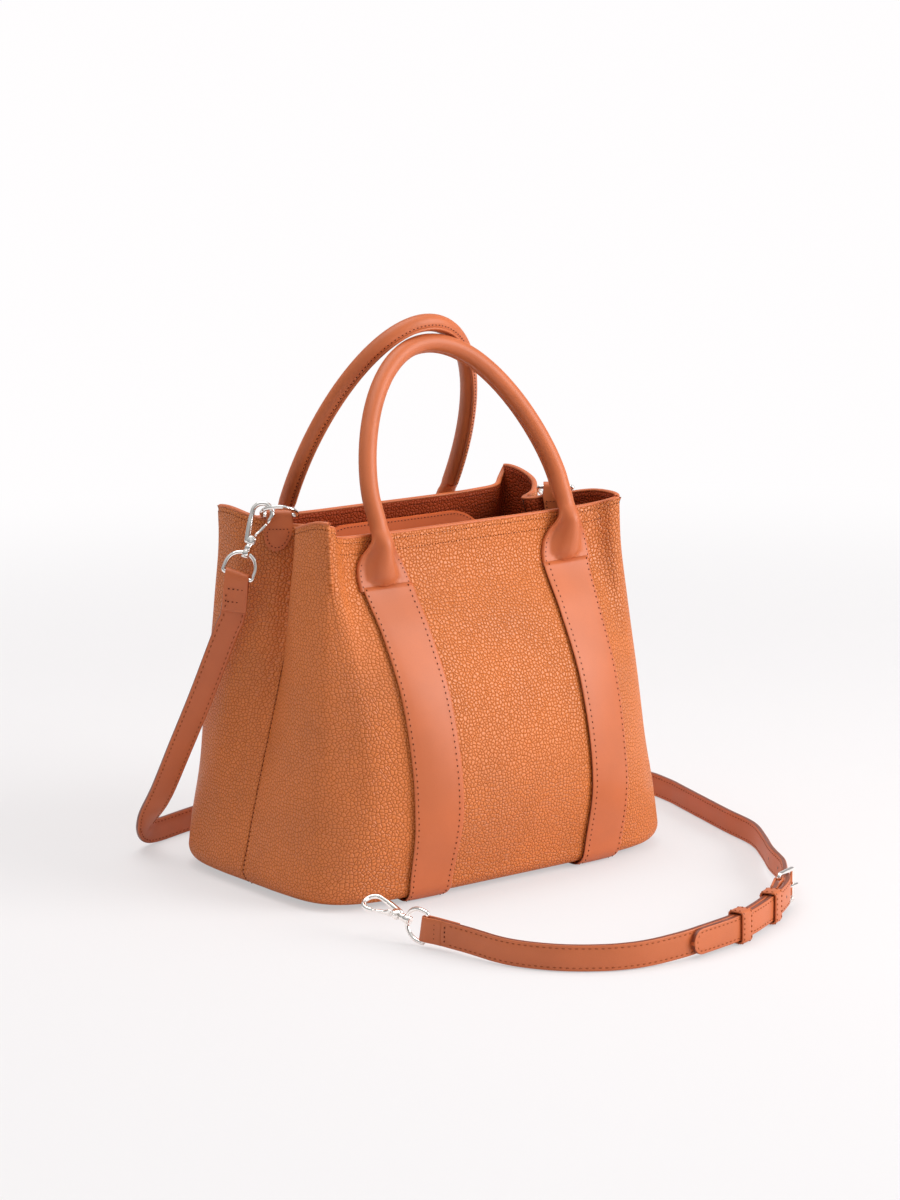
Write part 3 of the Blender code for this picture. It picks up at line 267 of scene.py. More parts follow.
# One foot of a handle, from the crease on the band up to the tube: rise over the hinge, half width of
# the leaf, half width of the swell, how far it has left the wall, inner depth, and share of full swell
FLARE = (
    (-0.0236, 0.0186, 0.0010, 0.00, 0.0009, 0.00),
    (-0.0224, 0.0185, 0.0022, 0.00, 0.0009, 0.05),
    (-0.0215, 0.0184, 0.0046, 0.00, 0.0009, 0.34),
    (-0.0204, 0.0183, 0.0066, 0.00, 0.0009, 0.56),
    (-0.0188, 0.0182, 0.0080, 0.00, 0.0009, 0.72),
    (-0.0166, 0.0180, 0.0088, 0.00, 0.0009, 0.84),
    (-0.0138, 0.0175, 0.0090, 0.00, 0.0009, 0.91),
    (-0.0105, 0.0167, 0.0086, 0.00, 0.0010, 0.96),
    (-0.0070, 0.0152, 0.0078, 0.05, 0.0012, 0.99),
    (-0.0030, 0.0126, 0.0069, 0.18, 0.0018, 1.00),
    (0.0010, 0.0096, 0.0062, 0.48, 0.0034, 1.00),
    (0.0050, 0.0073, 0.0057, 0.80, 0.0048, 1.00),
    (0.0090, 0.0059, 0.0054, 1.00, 0.0054, 1.00),
    (0.0130, 0.0054, 0.0054, 1.00, 0.0054, 1.00),
)
# A foot sits on its band at this station, and moves over to its tube from this rise up
FLARE_PLACE = 1.57
FLARE_BEND = -0.0214
# Half the thickness of a foot's leather, and how far its seams are from its edges
FOOT_LEAF = 0.0011
FOOT_INSET = 0.0021
# Faces round a handle's tube
RING_SIDES = 28


def tint(name, description, colour):
    return FloatVectorProperty(name=name, description=description, subtype="COLOR", size=3, min=0, max=1,
                               default=colour)


def measure(name, description, size, low, high):
    return FloatProperty(name=name, description=description, default=size, min=low, max=high, unit="LENGTH",
                         precision=5)


class HandbagLeather(bpy.types.PropertyGroup):
    grain_colour: tint("Pebbled leather", "Colour of the body's leather", (0.640, 0.164, 0.022))
    smooth_colour: tint("Smooth leather", "Colour of bands, handles and strap", (0.540, 0.134, 0.042))
    facing_colour: tint("Facing", "Colour of the leather inside the rim", (0.38, 0.052, 0.009))
    pouch_colour: tint("Pouch", "Colour of the inner pouch's leather", (0.56, 0.098, 0.016))
    edge_colour: tint("Edge paint", "Colour of the painted cut edges", (0.20, 0.042, 0.015))
    thread_colour: tint("Thread", "Colour of the sewing thread", (0.085, 0.012, 0.004))
    lining_colour: tint("Lining", "Colour of the lining cloth", (0.085, 0.035, 0.022))
    pebble_size: measure("Pebble size", "Width of one pebble of the grain", 0.0022, 0.0005, 0.005)
    pebble_depth: measure("Pebble depth", "Depth of the creases between pebbles", 0.00056, 0.0, 0.003)
    stitch_pitch: measure("Stitch pitch", "Distance from stitch to stitch", 0.0036, 0.001, 0.01)
    stitch_length: measure("Stitch length", "Length of thread that shows in a stitch", 0.0012, 0.0005, 0.008)
    thread_radius: measure("Thread radius", "Radius of the sewing thread", 0.00034, 0.0001, 0.001)


class HandbagHardware(bpy.types.PropertyGroup):
    metal_colour: tint("Metal", "Colour of the polished nickel", (0.88, 0.86, 0.83))
    polish: FloatProperty(name="Roughness", description="Roughness of the polished metal", default=0.08,
                          min=0.0, max=1.0, subtype="FACTOR")
    wire_sides: IntProperty(name="Wire sides", description="Faces round a wire", default=16, min=6, max=48)


class HandbagStudio(bpy.types.PropertyGroup):
    key_power: FloatProperty(name="Key lamp", description="Power of the large lamp at the front right",
                             default=36.0, min=0.0, max=500.0, unit="POWER")
    top_power: FloatProperty(name="Top lamp", description="Power of the lamp over the bag", default=12.0,
                             min=0.0, max=500.0, unit="POWER")
    sky_level: FloatProperty(name="Surround", description="Level of the white surround's light",
                             default=0.50, min=0.0, max=2.0)
    floor_colour: tint("Floor", "Colour of the floor and backdrop", (0.86, 0.835, 0.84))


# Wall of the bag

def catmull_rom(before, start, end, after, share):
    square = share * share
    cube = square * share
    return 0.5 * (2 * start + (end - before) * share
                  + (2 * before - 5 * start + 4 * end - after) * square
                  + (3 * start - before - 3 * end + after) * cube)


@functools.lru_cache(maxsize=None)
def profile_at(height):
    """The wall's profile at a height share, by a cubic through the rows of the table."""
    last = len(PROFILE) - 1
    index = 0
    while index < last - 1 and height > PROFILE[index + 1][0]:
        index += 1
    low, high = PROFILE[index], PROFILE[index + 1]
    before, after = PROFILE[max(index - 1, 0)], PROFILE[min(index + 2, last)]
    span = high[0] - low[0]
    share = (height - low[0]) / span
    values = []
    for k in range(1, len(low)):
        slope_low = (high[k] - before[k]) / (high[0] - before[0]) * span
        slope_high = (after[k] - low[k]) / (after[0] - low[0]) * span
        square, cube = share ** 2, share ** 3
        values.append((2 * cube - 3 * square + 1) * low[k] + (cube - 2 * square + share) * slope_low
                      + (3 * square - 2 * cube) * high[k] + (cube - square) * slope_high)
    return values


@functools.lru_cache(maxsize=None)
def knot_point(index, height):
    mirror_x = index < 0
    mirror_y = index > LAST
    knot = abs(index) if index <= LAST else 2 * LAST - index
    (along, across), (mouth_x, mouth_y, rise) = STATIONS[knot]
    length_share, depth_share, squareness, front_blend, side_blend = profile_at(min(max(height, 0.0), 1.0))
    reach = (along ** squareness + across ** squareness) ** (-1.0 / squareness)
    barrel = Vector((HALF_LENGTH * length_share * along * reach, HALF_DEPTH * depth_share * across * reach))
    mouth = Vector((MOUTH_HALF_LENGTH * mouth_x, MOUTH_HALF_DEPTH * mouth_y))
    closed = front_blend + (side_blend - front_blend) * SIDE_BLEND[knot]
    plan = barrel.lerp(mouth, closed)
    z = LOW_HEIGHT + (RIM_HEIGHT + RIM_RISE * rise - LOW_HEIGHT) * max(height, 0.0)
    return Vector((-plan.x if mirror_x else plan.x, -plan.y if mirror_y else plan.y, z))


def plan_point(station, height):
    index = min(int(station), LAST - 1)
    around = [knot_point(index + step, height) for step in (-1, 0, 1, 2)]
    return catmull_rom(*around, station - index)


def beside(station):
    """Stations a small step to both sides, kept within the quarter."""
    return max(station - SMALL_STEP, 0.0), min(station + SMALL_STEP, float(LAST))


def quarter_point(station, height):
    """Point on the outer surface of a quarter, with the roll and turn-in below height share 0."""
    if height >= 0:
        return plan_point(station, height)
    foot = plan_point(station, 0.0)
    low, high = beside(station)
    along = plan_point(high, 0.0) - plan_point(low, 0.0)
    inward = Vector((-abs(along.y), -abs(along.x), 0)).normalized()
    turn = min(-height, 1.0) * math.pi / 2
    inset = BOTTOM_ROLL * (1 - math.cos(turn)) + TURN_IN * max(-height - 1, 0.0)
    return foot + inward * inset - Vector((0, 0, BOTTOM_ROLL * math.sin(turn)))


def quarter_normal(station, height):
    low, high = beside(station)
    along = quarter_point(high, height) - quarter_point(low, height)
    lower, upper = round(max(height - SMALL_STEP, -2.0), 6), round(min(height + SMALL_STEP, 1.0), 6)
    upward = quarter_point(station, upper) - quarter_point(station, lower)
    return upward.cross(along).normalized()


def wall_point(half, station, height, outward=0.0):
    """Point of the plain wall, pushed outward along the surface's normal."""
    height = round(height, 6)
    place = abs(station)
    side = -1 if station < 0 else 1
    point = quarter_point(place, height) + quarter_normal(place, height) * outward
    if place == LAST:
        point.y = GAP / 2
    return Vector((point.x * side, point.y * half, point.z))


def smooth_step(low, high, value):
    share = min(max((value - low) / (high - low), 0.0), 1.0)
    return share * share * (3 - 2 * share)


def fullness(half, station, height):
    """How far the soft leather stands out of, or is pressed into, the plain wall."""
    out = 0.0
    for wave_half, at, level, wide, tall, depth in WALL_WAVES:
        if wave_half == half:
            out += depth * math.exp(-((station - at) / wide) ** 2 - ((height - level) / tall) ** 2)
    window = smooth_step(0.0, 0.2, height) * (1 - smooth_step(0.80, 0.96, height))
    place = Vector((station * 0.55, height * 3.2, 4.0 * half))
    out += DENT_DEPTH * noise.noise(place) * window
    seam = LAST - abs(station)
    return out * min(seam, 1.0) - SEAM_DENT * math.exp(-(seam / 0.09) ** 2)


def rim_lift(half, station):
    lift = sum(rise * math.exp(-abs((station - at) / wide) ** power)
               for wave_half, at, wide, rise, power in RIM_WAVES if wave_half == half)
    step_half, at, wide, rise = WING_STEP
    if half == step_half and station < 0:
        lift += rise * smooth_step(-at - wide, -at + wide, -station) * (1 - smooth_step(6.0, 7.2, -station))
    return lift


def skin_point(half, station, height, outward=0.0):
    """Point of the soft wall: the plain wall with its waves, its fullness and the waving rim."""
    point = wall_point(half, station, height, outward + fullness(half, station, height))
    point.z += rim_lift(half, station) * smooth_step(0.84, 1.0, height)
    return point


def skin_normal(half, station, height):
    return (skin_point(half, station, height, 0.001) - skin_point(half, station, height)).normalized()


def band_station(share, height):
    """Station of a line along a band, from its inner edge (0) to its outer edge (1)."""
    return 1.0 + share * (float(np.interp(height, *zip(*BAND_EDGE))) - 1.0)


def spread(low, high, count):
    return [low + (high - low) * i / count for i in range(count + 1)]


def both_sides(places):
    """Stations on the right from 0 on, and their mirror images on the left before them."""
    return [-place for place in places[:0:-1]] + places


# Mesh tools

def arc(start, end, steps):
    """Even angles from one bearing to another, both given in half turns."""
    return [math.pi * turn for turn in spread(start, end, steps)]


def circle(sides):
    return arc(0.0, 2.0, sides)[:-1]


def squared(value, power):
    """A sine or cosine of a section that is squarer than a circle."""
    return math.copysign(abs(value) ** power, value)


def new_mesh(name, points, faces, fix=True):
    mesh = bpy.data.meshes.new(name)
    mesh.from_pydata([tuple(point) for point in points], [], faces)
    if fix:
        body = bmesh.new()
        body.from_mesh(mesh)
        bmesh.ops.recalc_face_normals(body, faces=body.faces)
        body.to_mesh(mesh)
        body.free()
    return mesh


def add_object(name, data):
    item = bpy.data.objects.new(name, data)
    bpy.context.scene.collection.objects.link(item)
    return item


def dress_node(name, material):
    """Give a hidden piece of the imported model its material."""
    materials = frame["nodes"][name].data.materials
    materials.clear()
    materials.append(material)


def piece(name, mesh, materials, body, stands_for=()):
    """A finished piece in the scene, riding on its body."""
    for material in materials:
        mesh.materials.append(material)
    mesh.shade_smooth()
    item = add_object(name, mesh)
    if body:
        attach(item, body)
    if stands_for:
        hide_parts(*stands_for)
    return item


def slab_mesh(name, columns, thickness, materials, offset=-1.0, bevel=0.0, cyclic=False, crown=()):
    """A sheet cut to shape: a grid of points given thickness, painted edges and softened arrises."""
    rows, count = len(columns[0]), len(columns)
    faces = []
    for i in range(count if cyclic else count - 1):
        here, after = i * rows, (i + 1) % count * rows
        faces += [(here + j, after + j, after + j + 1, here + j + 1) for j in range(rows - 1)]
    if crown:
        faces.append(crown)
    mesh = new_mesh(name, [point for column in columns for point in column], faces, fix=False)
    for material in materials:
        mesh.materials.append(material)
    item = add_object(name, mesh)
    layer = item.modifiers.new("thickness", "SOLIDIFY")
    layer.thickness = thickness
    layer.offset = offset
    layer.material_offset_rim = 1 if len(materials) > 1 else 0
    if bevel:
        edge = item.modifiers.new("edge", "BEVEL")
        edge.width = bevel
        edge.segments = 2
        edge.limit_method = "ANGLE"
        edge.angle_limit = math.radians(55)
    bpy.context.view_layer.update()
    done = bpy.data.meshes.new_from_object(item.evaluated_get(bpy.context.evaluated_depsgraph_get()))
    bpy.data.objects.remove(item, do_unlink=True)
    bpy.data.meshes.remove(mesh)
    return done


def lay_out(mesh, columns):
    """Keep each point's place on the flat hide it was cut from, so that the pebbles lie in the surface."""
    grid = np.array([[tuple(point) for point in column] for column in columns])
    across, up = (np.insert(np.cumsum(np.linalg.norm(np.diff(grid, axis=k), axis=2), axis=k), 0, 0.0, axis=k)
                  for k in (0, 1))
    flat = np.stack((across - across[len(columns) // 2], up, np.zeros_like(up)), axis=2).reshape(-1, 3)
    keep_hide_place(mesh, np.tile(flat, (len(mesh.vertices) // len(flat), 1)))


def keep_hide_place(mesh, places):
    mesh.attributes.new("hide place", "FLOAT_VECTOR", "POINT").data.foreach_set("vector", np.ravel(places))


def loft_parts(rings, cyclic=False, caps=True):
    """Points and faces of a skin over rings of equal count."""
    sides, count = len(rings[0]), len(rings)
    faces = []
    for i in range(count if cyclic else count - 1):
        low, high = i * sides, (i + 1) % count * sides
        faces += [(low + k, low + (k + 1) % sides, high + (k + 1) % sides, high + k) for k in range(sides)]
    if caps and not cyclic:
        faces += [tuple(range(sides)), tuple(range((count - 1) * sides, count * sides))]
    return [point for ring in rings for point in ring], faces


def join_parts(parts):
    points, faces = [], []
    for part_points, part_faces in parts:
        start = len(points)
        points.extend(part_points)
        faces.extend(tuple(start + k for k in face) for face in part_faces)
    return points, faces


def directions_along(path, cyclic=False):
    """Tangent and two square directions at each point, carried without twist."""
    count = len(path)
    frames = []
    side = None
    for i in range(count):
        before = path[i - 1] if i or cyclic else path[0]
        after = path[(i + 1) % count] if i < count - 1 or cyclic else path[-1]
        tangent = (after - before).normalized()
        side = tangent.orthogonal() if side is None else side
        side = (side - tangent * side.dot(tangent)).normalized()
        frames.append((tangent, side, tangent.cross(side)))
    return frames


def wire_parts(path, radius, sides, cyclic=False, shares=None):
    """A round wire along a path, with domed ends and a share of its radius at each point."""
    spots = [(point, radius * share, way)
             for point, share, way in zip(path, shares or [1.0] * len(path), directions_along(path, cyclic))]
    if not cyclic:
        domes = ((0.98, 0.15), (0.80, 0.60), (0.40, 0.92))
        (start, first, start_way), (end, last, end_way) = spots[0], spots[-1]
        spots = ([(start - start_way[0] * first * out, first * share, start_way) for out, share in domes] + spots
                 + [(end + end_way[0] * last * out, last * share, end_way) for out, share in domes[::-1]])
    return loft_parts([[point + (side * math.cos(a) + other * math.sin(a)) * size for a in circle(sides)]
                       for point, size, (_, side, other) in spots], cyclic)


def turned_parts(profile, axis, sides, start=(0, 0, 0)):
    """A turned form: (distance along the axis, radius) pairs about an axis."""
    axis = Vector(axis).normalized()
    side = axis.orthogonal().normalized()
    other = axis.cross(side)
    return loft_parts([[Vector(start) + axis * along + (side * math.cos(a) + other * math.sin(a)) * radius
                        for a in circle(sides)] for along, radius in profile])


def moved(parts, matrix):
    points, faces = parts
    return [matrix @ Vector(point) for point in points], faces


def stitch_template():
    """A short thread with its ends diving into the leather, one unit long and one radius thick."""
    sides, dive = 5, 1.2
    rings = [[(along, size * math.cos(a), rise + size * math.sin(a)) for a in circle(sides)] for along, size, rise
             in ((-0.44, 0.75, -0.35), (-0.18, 1.0, 0.25), (0.18, 1.0, 0.25), (0.44, 0.75, -0.35))]
    points, skin = loft_parts(rings, caps=False)
    top, low = len(points) + 1, 1 + len(points) - sides
    faces = [(0, 1 + (k + 1) % sides, 1 + k) for k in range(sides)]
    faces += [tuple(1 + k for k in face) for face in skin]
    faces += [(low + k, low + (k + 1) % sides, top) for k in range(sides)]
    return np.array([(-0.5, 0.0, -dive), *points, (0.5, 0.0, -dive)]), faces


def sew(name, lines, body, pitch_share=1.0, length_share=1.0, pale=False):
    """Stitches along lines of (point, normal), as one piece of thread work."""
    pitch = leather().stitch_pitch * pitch_share
    length = leather().stitch_length * length_share
    radius = leather().thread_radius * min(length_share, 1.0) ** 0.6
    template, template_faces = stitch_template()
    starts, ends, normals = [], [], []
    for line in lines:
        spots, faces = (np.array([tuple(pair[k]) for pair in line]) for k in (0, 1))
        distance = np.concatenate([[0.0], np.cumsum(np.linalg.norm(np.diff(spots, axis=0), axis=1))])
        count = max(int(distance[-1] / pitch), 1)
        middle = (np.arange(count) + 0.5) * distance[-1] / count
        for kept, values, places in ((starts, spots, middle - length / 2), (ends, spots, middle + length / 2),
                                     (normals, faces, middle)):
            kept.append(np.stack([np.interp(places, distance, values[:, k]) for k in range(3)], axis=1))
    start, end, normal = (np.concatenate(values) for values in (starts, ends, normals))
    along = end - start
    along = along / np.maximum(np.linalg.norm(along, axis=1, keepdims=True), 1e-9)
    normal = normal - along * np.sum(normal * along, axis=1, keepdims=True)
    normal = normal / np.maximum(np.linalg.norm(normal, axis=1, keepdims=True), 1e-9)
    points = ((start + end) / 2)[:, None, :]
    for k, (way, size) in enumerate(((along, length), (np.cross(normal, along), radius), (normal, radius))):
        points = points + way[:, None, :] * (template[None, :, k:k + 1] * size)
    count, each = len(start), len(template)
    faces = [tuple(k + i * each for k in face) for i in range(count) for face in template_faces]
    thread = (thread_material([value * 0.55 for value in leather().smooth_colour], name="strap thread") if pale
              else thread_material())
    return piece(name, new_mesh(name, points.reshape(-1, 3), faces, fix=False), [thread], body)


# Materials

def leather():
    return bpy.context.scene.handbag_leather


def feed(tree, value, socket):
    """Give an input a number or a colour, or join another node's output to it."""
    if isinstance(value, bpy.types.NodeSocket):
        tree.links.new(value, socket)
    else:
        socket.default_value = value


def add(tree, kind, values=(), **settings):
    made = tree.nodes.new(kind)
    for key, value in settings.items():
        setattr(made, key, value)
    for key, value in dict(values).items():
        feed(tree, value, made.inputs[key])
    return made


def sum_of(tree, operation, *values):
    return add(tree, "ShaderNodeMath", enumerate(values), operation=operation).outputs[0]


def part_of(tree, value, share, start=0.0):
    """A start value and a share of another value."""
    return sum_of(tree, "MULTIPLY_ADD", value, share, start)


def ranged(tree, value, low, high, to_low=0.0, to_high=1.0):
    return add(tree, "ShaderNodeMapRange", {"Value": value, "From Min": low, "From Max": high, "To Min": to_low,
                                            "To Max": to_high}, interpolation_type="SMOOTHSTEP").outputs["Result"]


def mixed(tree, share, first, second):
    """Colour between two colours."""
    return add(tree, "ShaderNodeMix", {0: share, 6: first, 7: second}, data_type="RGBA").outputs[2]


def shade(colour, times):
    return tuple(min(value * times, 1.0) for value in colour[:3]) + (1.0,)


def pebble_nodes(tree, given, out, dimensions="3D"):
    """Grain of pebbles: their height, and the creases between them."""
    density = sum_of(tree, "DIVIDE", 1.0, given["Pebble Size"])
    warp = add(tree, "ShaderNodeTexNoise", {"Vector": given["Place"], "Scale": part_of(tree, density, 0.45),
                                            "Detail": 2.0})
    shift = add(tree, "ShaderNodeVectorMath", {0: warp.outputs["Color"], 1: (0.5, 0.5, 0.5)},
                operation="SUBTRACT")
    scaled = add(tree, "ShaderNodeVectorMath", {0: shift.outputs[0],
                                                "Scale": part_of(tree, given["Pebble Size"], 0.6)},
                 operation="SCALE")
    place = add(tree, "ShaderNodeVectorMath", {0: given["Place"], 1: scaled.outputs[0]}, operation="ADD")
    edges, domes, fine = (
        add(tree, "ShaderNodeTexVoronoi", {"Vector": place.outputs[0], "Scale": part_of(tree, density, times),
                                           "Randomness": randomness},
            feature=feature, voronoi_dimensions=cells).outputs["Distance"]
        for feature, times, randomness, cells in (("DISTANCE_TO_EDGE", 1.0, 0.95, dimensions),
                                                  ("F1", 1.0, 0.95, dimensions), ("F1", 2.7, 1.0, "3D")))
    plate = ranged(tree, edges, 0.0, given["Crease Width"])
    line = ranged(tree, edges, 0.0, part_of(tree, given["Crease Width"], 0.45))
    dome = sum_of(tree, "SUBTRACT", 1.0, sum_of(tree, "POWER", domes, 2.0))
    height = part_of(tree, plate, 0.6, part_of(tree, dome, 0.5, part_of(tree, fine, -0.05)))
    feed(tree, height, out["Height"])
    feed(tree, sum_of(tree, "SUBTRACT", 1.0, line), out["Crease"])


def hide_pebble_nodes(tree, given, out):
    """The same grain in the flat plane of the hide."""
    pebble_nodes(tree, given, out, "2D")


def tone_nodes(tree, given, out):
    """Slow changes of tone over a hide, and its fine pores."""
    slow = add(tree, "ShaderNodeTexNoise", {"Vector": given["Place"], "Scale": given["Patch Scale"],
                                            "Detail": 3.0, "Roughness": 0.55})
    pores = add(tree, "ShaderNodeTexNoise", {"Vector": given["Place"], "Scale": given["Pore Scale"],
                                             "Detail": 4.0, "Roughness": 0.65})
    feed(tree, ranged(tree, slow.outputs[0], 0.3, 0.7), out["Tone"])
    feed(tree, pores.outputs[0], out["Pores"])


def wear_nodes(tree, given, out):
    """Soft scuffs that come and go over a surface."""
    broad = add(tree, "ShaderNodeTexNoise", {"Vector": given["Place"], "Scale": given["Scale"], "Detail": 5.0,
                                             "Roughness": 0.6})
    feed(tree, ranged(tree, broad.outputs[0], 0.45, 0.75), out["Wear"])


GROUPS = {
    "Leather pebbles": (pebble_nodes, {"Pebble Size": 0.0015, "Crease Width": 0.2}, ("Height", "Crease")),
    "Hide pebbles": (hide_pebble_nodes, {"Pebble Size": 0.0015, "Crease Width": 0.2}, ("Height", "Crease")),
    "Hide tone": (tone_nodes, {"Patch Scale": 14.0, "Pore Scale": 900.0}, ("Tone", "Pores")),
    "Soft wear": (wear_nodes, {"Scale": 60.0}, ("Wear",)),
}


def use_group(tree, name, place, **values):
    """Outputs of one of the shared groups, which is made the first time it is used."""
    fill, inputs, outputs = GROUPS[name]
    if name not in bpy.data.node_groups:
        group = bpy.data.node_groups.new(name, "ShaderNodeTree")
        group.interface.new_socket("Place", in_out="INPUT", socket_type="NodeSocketVector")
        for label, value in inputs.items():
            group.interface.new_socket(label, in_out="INPUT", socket_type="NodeSocketFloat").default_value = value
        for label in outputs:
            group.interface.new_socket(label, in_out="OUTPUT", socket_type="NodeSocketFloat")
        fill(group, group.nodes.new("NodeGroupInput").outputs, group.nodes.new("NodeGroupOutput").inputs)
    made = tree.nodes.new("ShaderNodeGroup")
    made.node_tree = bpy.data.node_groups[name]
    feed(tree, place, made.inputs["Place"])
    for key, value in values.items():
        made.inputs[key.replace("_", " ").title()].default_value = value
    return made.outputs


def wave(tree, place, direction, scale, distortion, detail=2.0):
    return add(tree, "ShaderNodeTexWave", {"Vector": place, "Scale": scale, "Distortion": distortion,
                                           "Detail": detail}, bands_direction=direction).outputs["Fac"]


def wire_shader(tree, shader, base, rough, height, depth, strength, **others):
    """Colour, roughness and relief of a material, and what else is given."""
    bump = add(tree, "ShaderNodeBump", {"Height": height, "Distance": depth, "Strength": strength})
    for label, value in {"Base Color": base, "Roughness": rough, "Normal": bump.outputs[0], **others}.items():
        feed(tree, value, shader.inputs[label])


def recipe(usual_name):
    """Turn the wiring of a shader into a maker of materials, each of which is made once."""
    def wrap(wiring):
        @functools.wraps(wiring)
        def maker(*values, name=usual_name):
            if name not in bpy.data.materials:
                material = bpy.data.materials.new(name)
                material.use_nodes = True
                tree = material.node_tree
                place = tree.nodes.new("ShaderNodeTexCoord").outputs["Object"]
                wiring(tree, tree.nodes["Principled BSDF"], place, *values)
            return bpy.data.materials[name]
        return maker
    return wrap


@recipe("pebbled leather")
def pebbled_leather(tree, shader, place, colour=None, depth_share=1.0, roughness=0.47, shine=0.75):
    colour = colour or leather().grain_colour
    hide_place = add(tree, "ShaderNodeAttribute", attribute_name="hide place").outputs["Vector"]
    pebbles = use_group(tree, "Hide pebbles", hide_place, pebble_size=leather().pebble_size, crease_width=0.30)
    tone = use_group(tree, "Hide tone", place, patch_scale=16.0)["Tone"]
    crease = pebbles["Crease"]
    # Painted shade in the creases: the crease mask mixes in a darker, redder copy of the leather's colour
    deep = (colour[0] * 0.60, colour[1] * 0.50, colour[2] * 0.40)
    base = mixed(tree, part_of(tree, crease, 0.95), mixed(tree, tone, shade(colour, 0.93), shade(colour, 1.07)),
                 mixed(tree, tone, shade(deep, 0.90), shade(deep, 1.0)))
    rough = part_of(tree, crease, 0.22, part_of(tree, tone, 0.08, roughness - 0.04))
    shine = part_of(tree, ranged(tree, crease, 0.0, 1.0, 1.0, 0.35), shine)
    wire_shader(tree, shader, base, rough, pebbles["Height"], leather().pebble_depth * depth_share, 0.9,
                **{"Specular IOR Level": shine})


def facing():
    return pebbled_leather(leather().facing_colour, 1.1, 0.55, 0.25, name="facing leather")


@recipe("smooth leather")
def smooth_leather(tree, shader, place, colour=None, roughness=0.43, shine=0.42):
    colour = colour or leather().smooth_colour
    hide = use_group(tree, "Hide tone", place, patch_scale=26.0, pore_scale=1500.0)
    pores = use_group(tree, "Leather pebbles", place, pebble_size=0.0006, crease_width=0.3)
    worn = use_group(tree, "Soft wear", place, scale=45.0)[0]
    base = mixed(tree, hide["Tone"], shade(colour, 0.95), shade(colour, 1.05))
    # Painted shade in the pores: a darker copy of the leather's colour where the fine grain dips
    base = mixed(tree, part_of(tree, pores["Crease"], 0.16), base, shade(colour, 0.6))
    base = mixed(tree, part_of(tree, worn, 0.10), base, shade(colour, 1.25))
    height = part_of(tree, pores["Height"], 0.5, part_of(tree, hide["Pores"], 0.5))
    wire_shader(tree, shader, base, part_of(tree, hide["Pores"], 0.08, roughness - 0.03), height, 0.00005, 0.6,
                **{"Specular IOR Level": shine})


def pouch_leather():
    return smooth_leather(leather().pouch_colour, 0.55, 0.2, name="pouch leather")


@recipe("edge paint")
def edge_paint(tree, shader, place):
    colour = leather().edge_colour
    hide = use_group(tree, "Hide tone", place, patch_scale=160.0, pore_scale=1200.0)
    wire_shader(tree, shader, mixed(tree, hide["Tone"], shade(colour, 0.85), shade(colour, 1.12)),
                part_of(tree, hide["Pores"], 0.16, 0.34), hide["Pores"], 0.00002, 0.5)


@recipe("sewing thread")
def thread_material(tree, shader, place, colour=None):
    colour = colour or leather().thread_colour
    twist = wave(tree, place, "DIAGONAL", 1400.0, 1.5, 1.0)
    # Painted shade and highlight along the twist: darker in its grooves, lighter on its ridges
    wire_shader(tree, shader, mixed(tree, twist, shade(colour, 0.75), shade(colour, 1.25)),
                part_of(tree, twist, 0.2, 0.55), twist, 0.00001, 0.7, **{"Specular IOR Level": 0.15})


@recipe("lining cloth")
def lining_material(tree, shader, place):
    colour = leather().lining_colour
    weave = sum_of(tree, "MULTIPLY", wave(tree, place, "X", 620.0, 0.4), wave(tree, place, "Z", 620.0, 0.4))
    tone = use_group(tree, "Hide tone", place, patch_scale=20.0)["Tone"]
    light = mixed(tree, tone, shade(colour, 1.0), shade(colour, 1.3))
    # Painted shade between the threads: the weave's low parts take a darker copy of the cloth's colour
    wire_shader(tree, shader, mixed(tree, weave, shade(colour, 0.6), light), part_of(tree, weave, -0.15, 0.95),
                weave, 0.00015, 0.7, **{"Sheen Weight": 0.3})


@recipe("stiffening board")
def board_material(tree, shader, place):
    fibre = use_group(tree, "Hide tone", place, patch_scale=90.0, pore_scale=700.0)
    wire_shader(tree, shader, mixed(tree, fibre["Tone"], (0.30, 0.22, 0.14, 1), (0.40, 0.31, 0.20, 1)),
                part_of(tree, fibre["Pores"], 0.15, 0.80), fibre["Pores"], 0.0002, 0.6)


@recipe("handle rope")
def rope_material(tree, shader, place):
    twist = wave(tree, place, "DIAGONAL", 260.0, 2.0)
    wire_shader(tree, shader, mixed(tree, twist, (0.45, 0.40, 0.32, 1), (0.70, 0.65, 0.55, 1)), 0.9, twist,
                0.0004, 0.8)


@recipe("polished nickel")
def nickel_material(tree, shader, place):
    hardware = bpy.context.scene.handbag_hardware
    colour = hardware.metal_colour
    worn = use_group(tree, "Soft wear", place, scale=220.0)[0]
    hide = use_group(tree, "Hide tone", place, patch_scale=90.0, pore_scale=1800.0)
    wire_shader(tree, shader, mixed(tree, hide["Tone"], shade(colour, 0.94), shade(colour, 1.05)),
                part_of(tree, worn, 0.10, hardware.polish), hide["Pores"], 0.00003, 0.3, Metallic=1.0)


